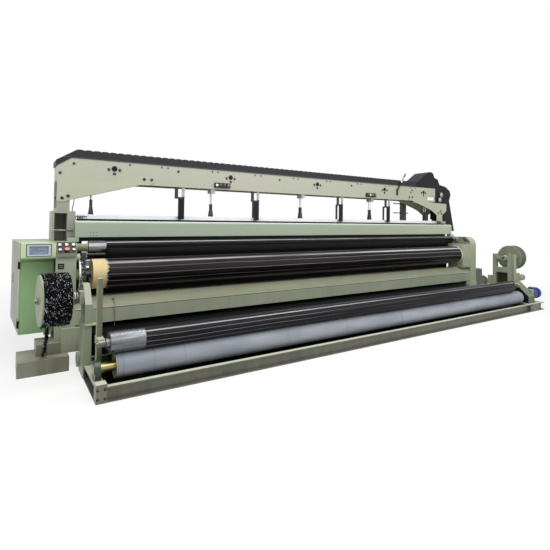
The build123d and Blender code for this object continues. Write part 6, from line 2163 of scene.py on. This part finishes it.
@dataclass
class StandTrim:
    """Bolts, clamps and covers of the batching stand and the two waste reels."""

    finishes: Finishes
    left_bearing: tuple[float, float, float] = (-3484.0, -1160.0, 222.0)
    right_bearing: tuple[float, float, float] = (3601.0, -1160.0, 222.0)
    pivot: Point = (-3541.0, -630.0, 756.0)
    yaw_deg: float = 4.4
    sheet: tuple[tuple[float, float], ...] = ((3925.0, 3928.0), (-842.0, -483.0), (251.0, 589.0))

    def bearings(self) -> None:
        """Adds the bolts and end caps of the two plummer blocks."""
        shape = Shape("plummer_block_bolts")
        for (x, y, z), side in ((self.left_bearing, -1), (self.right_bearing, 1)):
            outward = Vector((side, 0, 0))
            shape.lathe(
                [(0, 58), (4, 58), (6, 54), (6, 46)], (x, y, z), outward, PILLOW_GREEN, 32, closed=False
            )
            for dy in (-48, 48):
                shape.bolt((x - side * 24, y + dy, z + 34), UP, 10, ZINC, IRON)
            shape.bolt_ring((x + side * 2, y, z), 52, 45, 4, outward, 5)
        shape.object(self.finishes, Body.LOOM, "dark_green_paint")

    def left_neck(self) -> None:
        """Adds the bright clutch parts between the left roll and its column."""
        shape = Shape("left_reel_clutch")
        axis = Vector((math.cos(math.radians(self.yaw_deg)), math.sin(math.radians(self.yaw_deg)), 0))
        base = Vector(self.pivot)
        side = Vector((-axis.y, axis.x, 0))
        for start, end, radius, finish in (
            (-90, -84, 84, BRIGHT_ZINC),
            (-84, -70, 52, IRON),
            (-70, -62, 78, BRIGHT_ZINC),
            (-50, -40, 70, BRIGHT_ZINC),
            (-30, -18, 62, STEEL_BAR),
        ):
            shape.lathe(
                [(start, radius - 2), (start + 1.5, radius), (end - 1.5, radius), (end, radius - 2)],
                tuple(base), axis, finish, 36
            )
        for number in range(8):
            angle = math.radians(45 * number)
            spot = base + axis * -84 + (side * math.cos(angle) + UP * math.sin(angle)) * 68
            shape.bolt(tuple(spot), axis, 8, ZINC, IRON)
            far = base + axis * -20 + (side * math.cos(angle) + UP * math.sin(angle)) * 50
            shape.tube([tuple(spot), tuple(far)], 6, BRIGHT_ZINC, 8)
        shape.object(self.finishes, Body.REEL_LEFT, "steel")

    def left_hub(self) -> None:
        """Adds the nut, the washer and the rim of the left reel's flange."""
        shape = Shape("left_reel_hub")
        axis = Vector((-math.cos(math.radians(self.yaw_deg)), -math.sin(math.radians(self.yaw_deg)), 0))
        base = Vector(self.pivot) + axis * 338
        shape.lathe([(0, 46), (3, 46), (4, 44)], tuple(base), axis, STAND_SAGE, 32)
        shape.bolt(tuple(base + axis * 16), axis, 24, BRASS, ZINC)
        shape.lathe([(28, 18.6), (34, 18.6), (36, 15)], tuple(base), axis, STEEL_BAR, 20)
        shape.lathe(
            [(-13, 230.5), (-13, 233), (-2, 233), (-2, 229.5)], tuple(base), axis, STAND_SAGE, 72,
            closed=False
        )
        shape.object(self.finishes, Body.REEL_LEFT, "steel")

    def right_hub(self) -> None:
        """Adds the bolts on the right reel's flange."""
        shape = Shape("right_reel_hub")
        x, y, z = 4086.0, -702.5, 866.0
        left = Vector((-1, 0, 0))
        shape.lathe(
            [(0, 62), (6, 62), (8, 58), (20, 34), (34, 34), (34, 19)], (x, y, z), left, IRON, 36, closed=False
        )
        shape.bolt_ring((x, y, z), 78, 0, 6, left, 8)
        shape.bolt_ring((x, y, z), 168, 60, 3, left, 9)
        shape.object(self.finishes, Body.REEL_RIGHT, "steel")

    def back_sheet(self) -> None:
        """Closes the right stand's lower opening with a sheet whose near-black colour is painted shade."""
        shape = Shape("right_stand_sheet")
        (x0, x1), (y0, y1), (z0, z1) = self.sheet
        shape.plate((x0, y0, z0), (x1, y1, z1), STAND_SHADE_SHEET, 1)
        shape.object(self.finishes, Body.LOOM, "dark_green_paint")

    def motor(self) -> None:
        """Adds the fan cover's slots, the terminal box and the feet of the blue motor."""
        shape = Shape("motor_fittings")
        x, y, z = 4053.0, -1200.0, 264.0
        for number in range(16):
            angle = math.radians(22.5 * number)
            slot = [around((x - 0.5, y, z), radius, angle) for radius in (26, 72)]
            shape.tube(slot, 2.6, MOTOR_BLUE, 6)
        shape.lathe(
            [(-2, 82), (1.5, 82), (2.5, 79), (2.5, 74)], (x, y, z), X_AXIS, MOTOR_BLUE, 40, closed=False
        )
        shape.plate((3862, -1236, 346), (3950, -1164, 366), MOTOR_BLUE, 4)
        shape.object(self.finishes, Body.LOOM, "blue_paint")

    def guard(self) -> None:
        """Adds the screws of the chain guard and of the stand's corner plates."""
        shape = Shape("stand_screws")
        for z in (160, 220):
            shape.bolt((3580, -1320, z), FRONT, 6, IRON, IRON)
            shape.bolt((3718, -1320, z), FRONT, 6, IRON, IRON)
        for x in (-3487, -3430):
            for z in (36, 112):
                shape.bolt((x, -1383, z), FRONT, 8, IRON, BLACK_BOLT)
        for x in (3520, 3560, 3800, 3830):
            shape.bolt((x, -1383, 36), FRONT, 8, IRON, BLACK_BOLT)
            shape.bolt((x, -1383, 112), FRONT, 8, IRON, BLACK_BOLT)
        shape.object(self.finishes, Body.LOOM, "steel")

    def build(self) -> None:
        """Builds every fitting."""
        self.bearings()
        self.left_neck()
        self.left_hub()
        self.right_hub()
        self.back_sheet()
        self.motor()
        self.guard()


def main() -> None:
    """Builds the studio and every sub-assembly."""
    finishes = Finishes()
    Studio().build()
    CadNodes(finishes).wear()
    ClothPath(finishes).build()
    WasteReels(finishes).build()
    BridgeTrim(finishes).build()
    CabinetTrim(finishes).build()
    LoomTrim(finishes).build()
    StandTrim(finishes).build()


if __name__ == "__main__":
    main()
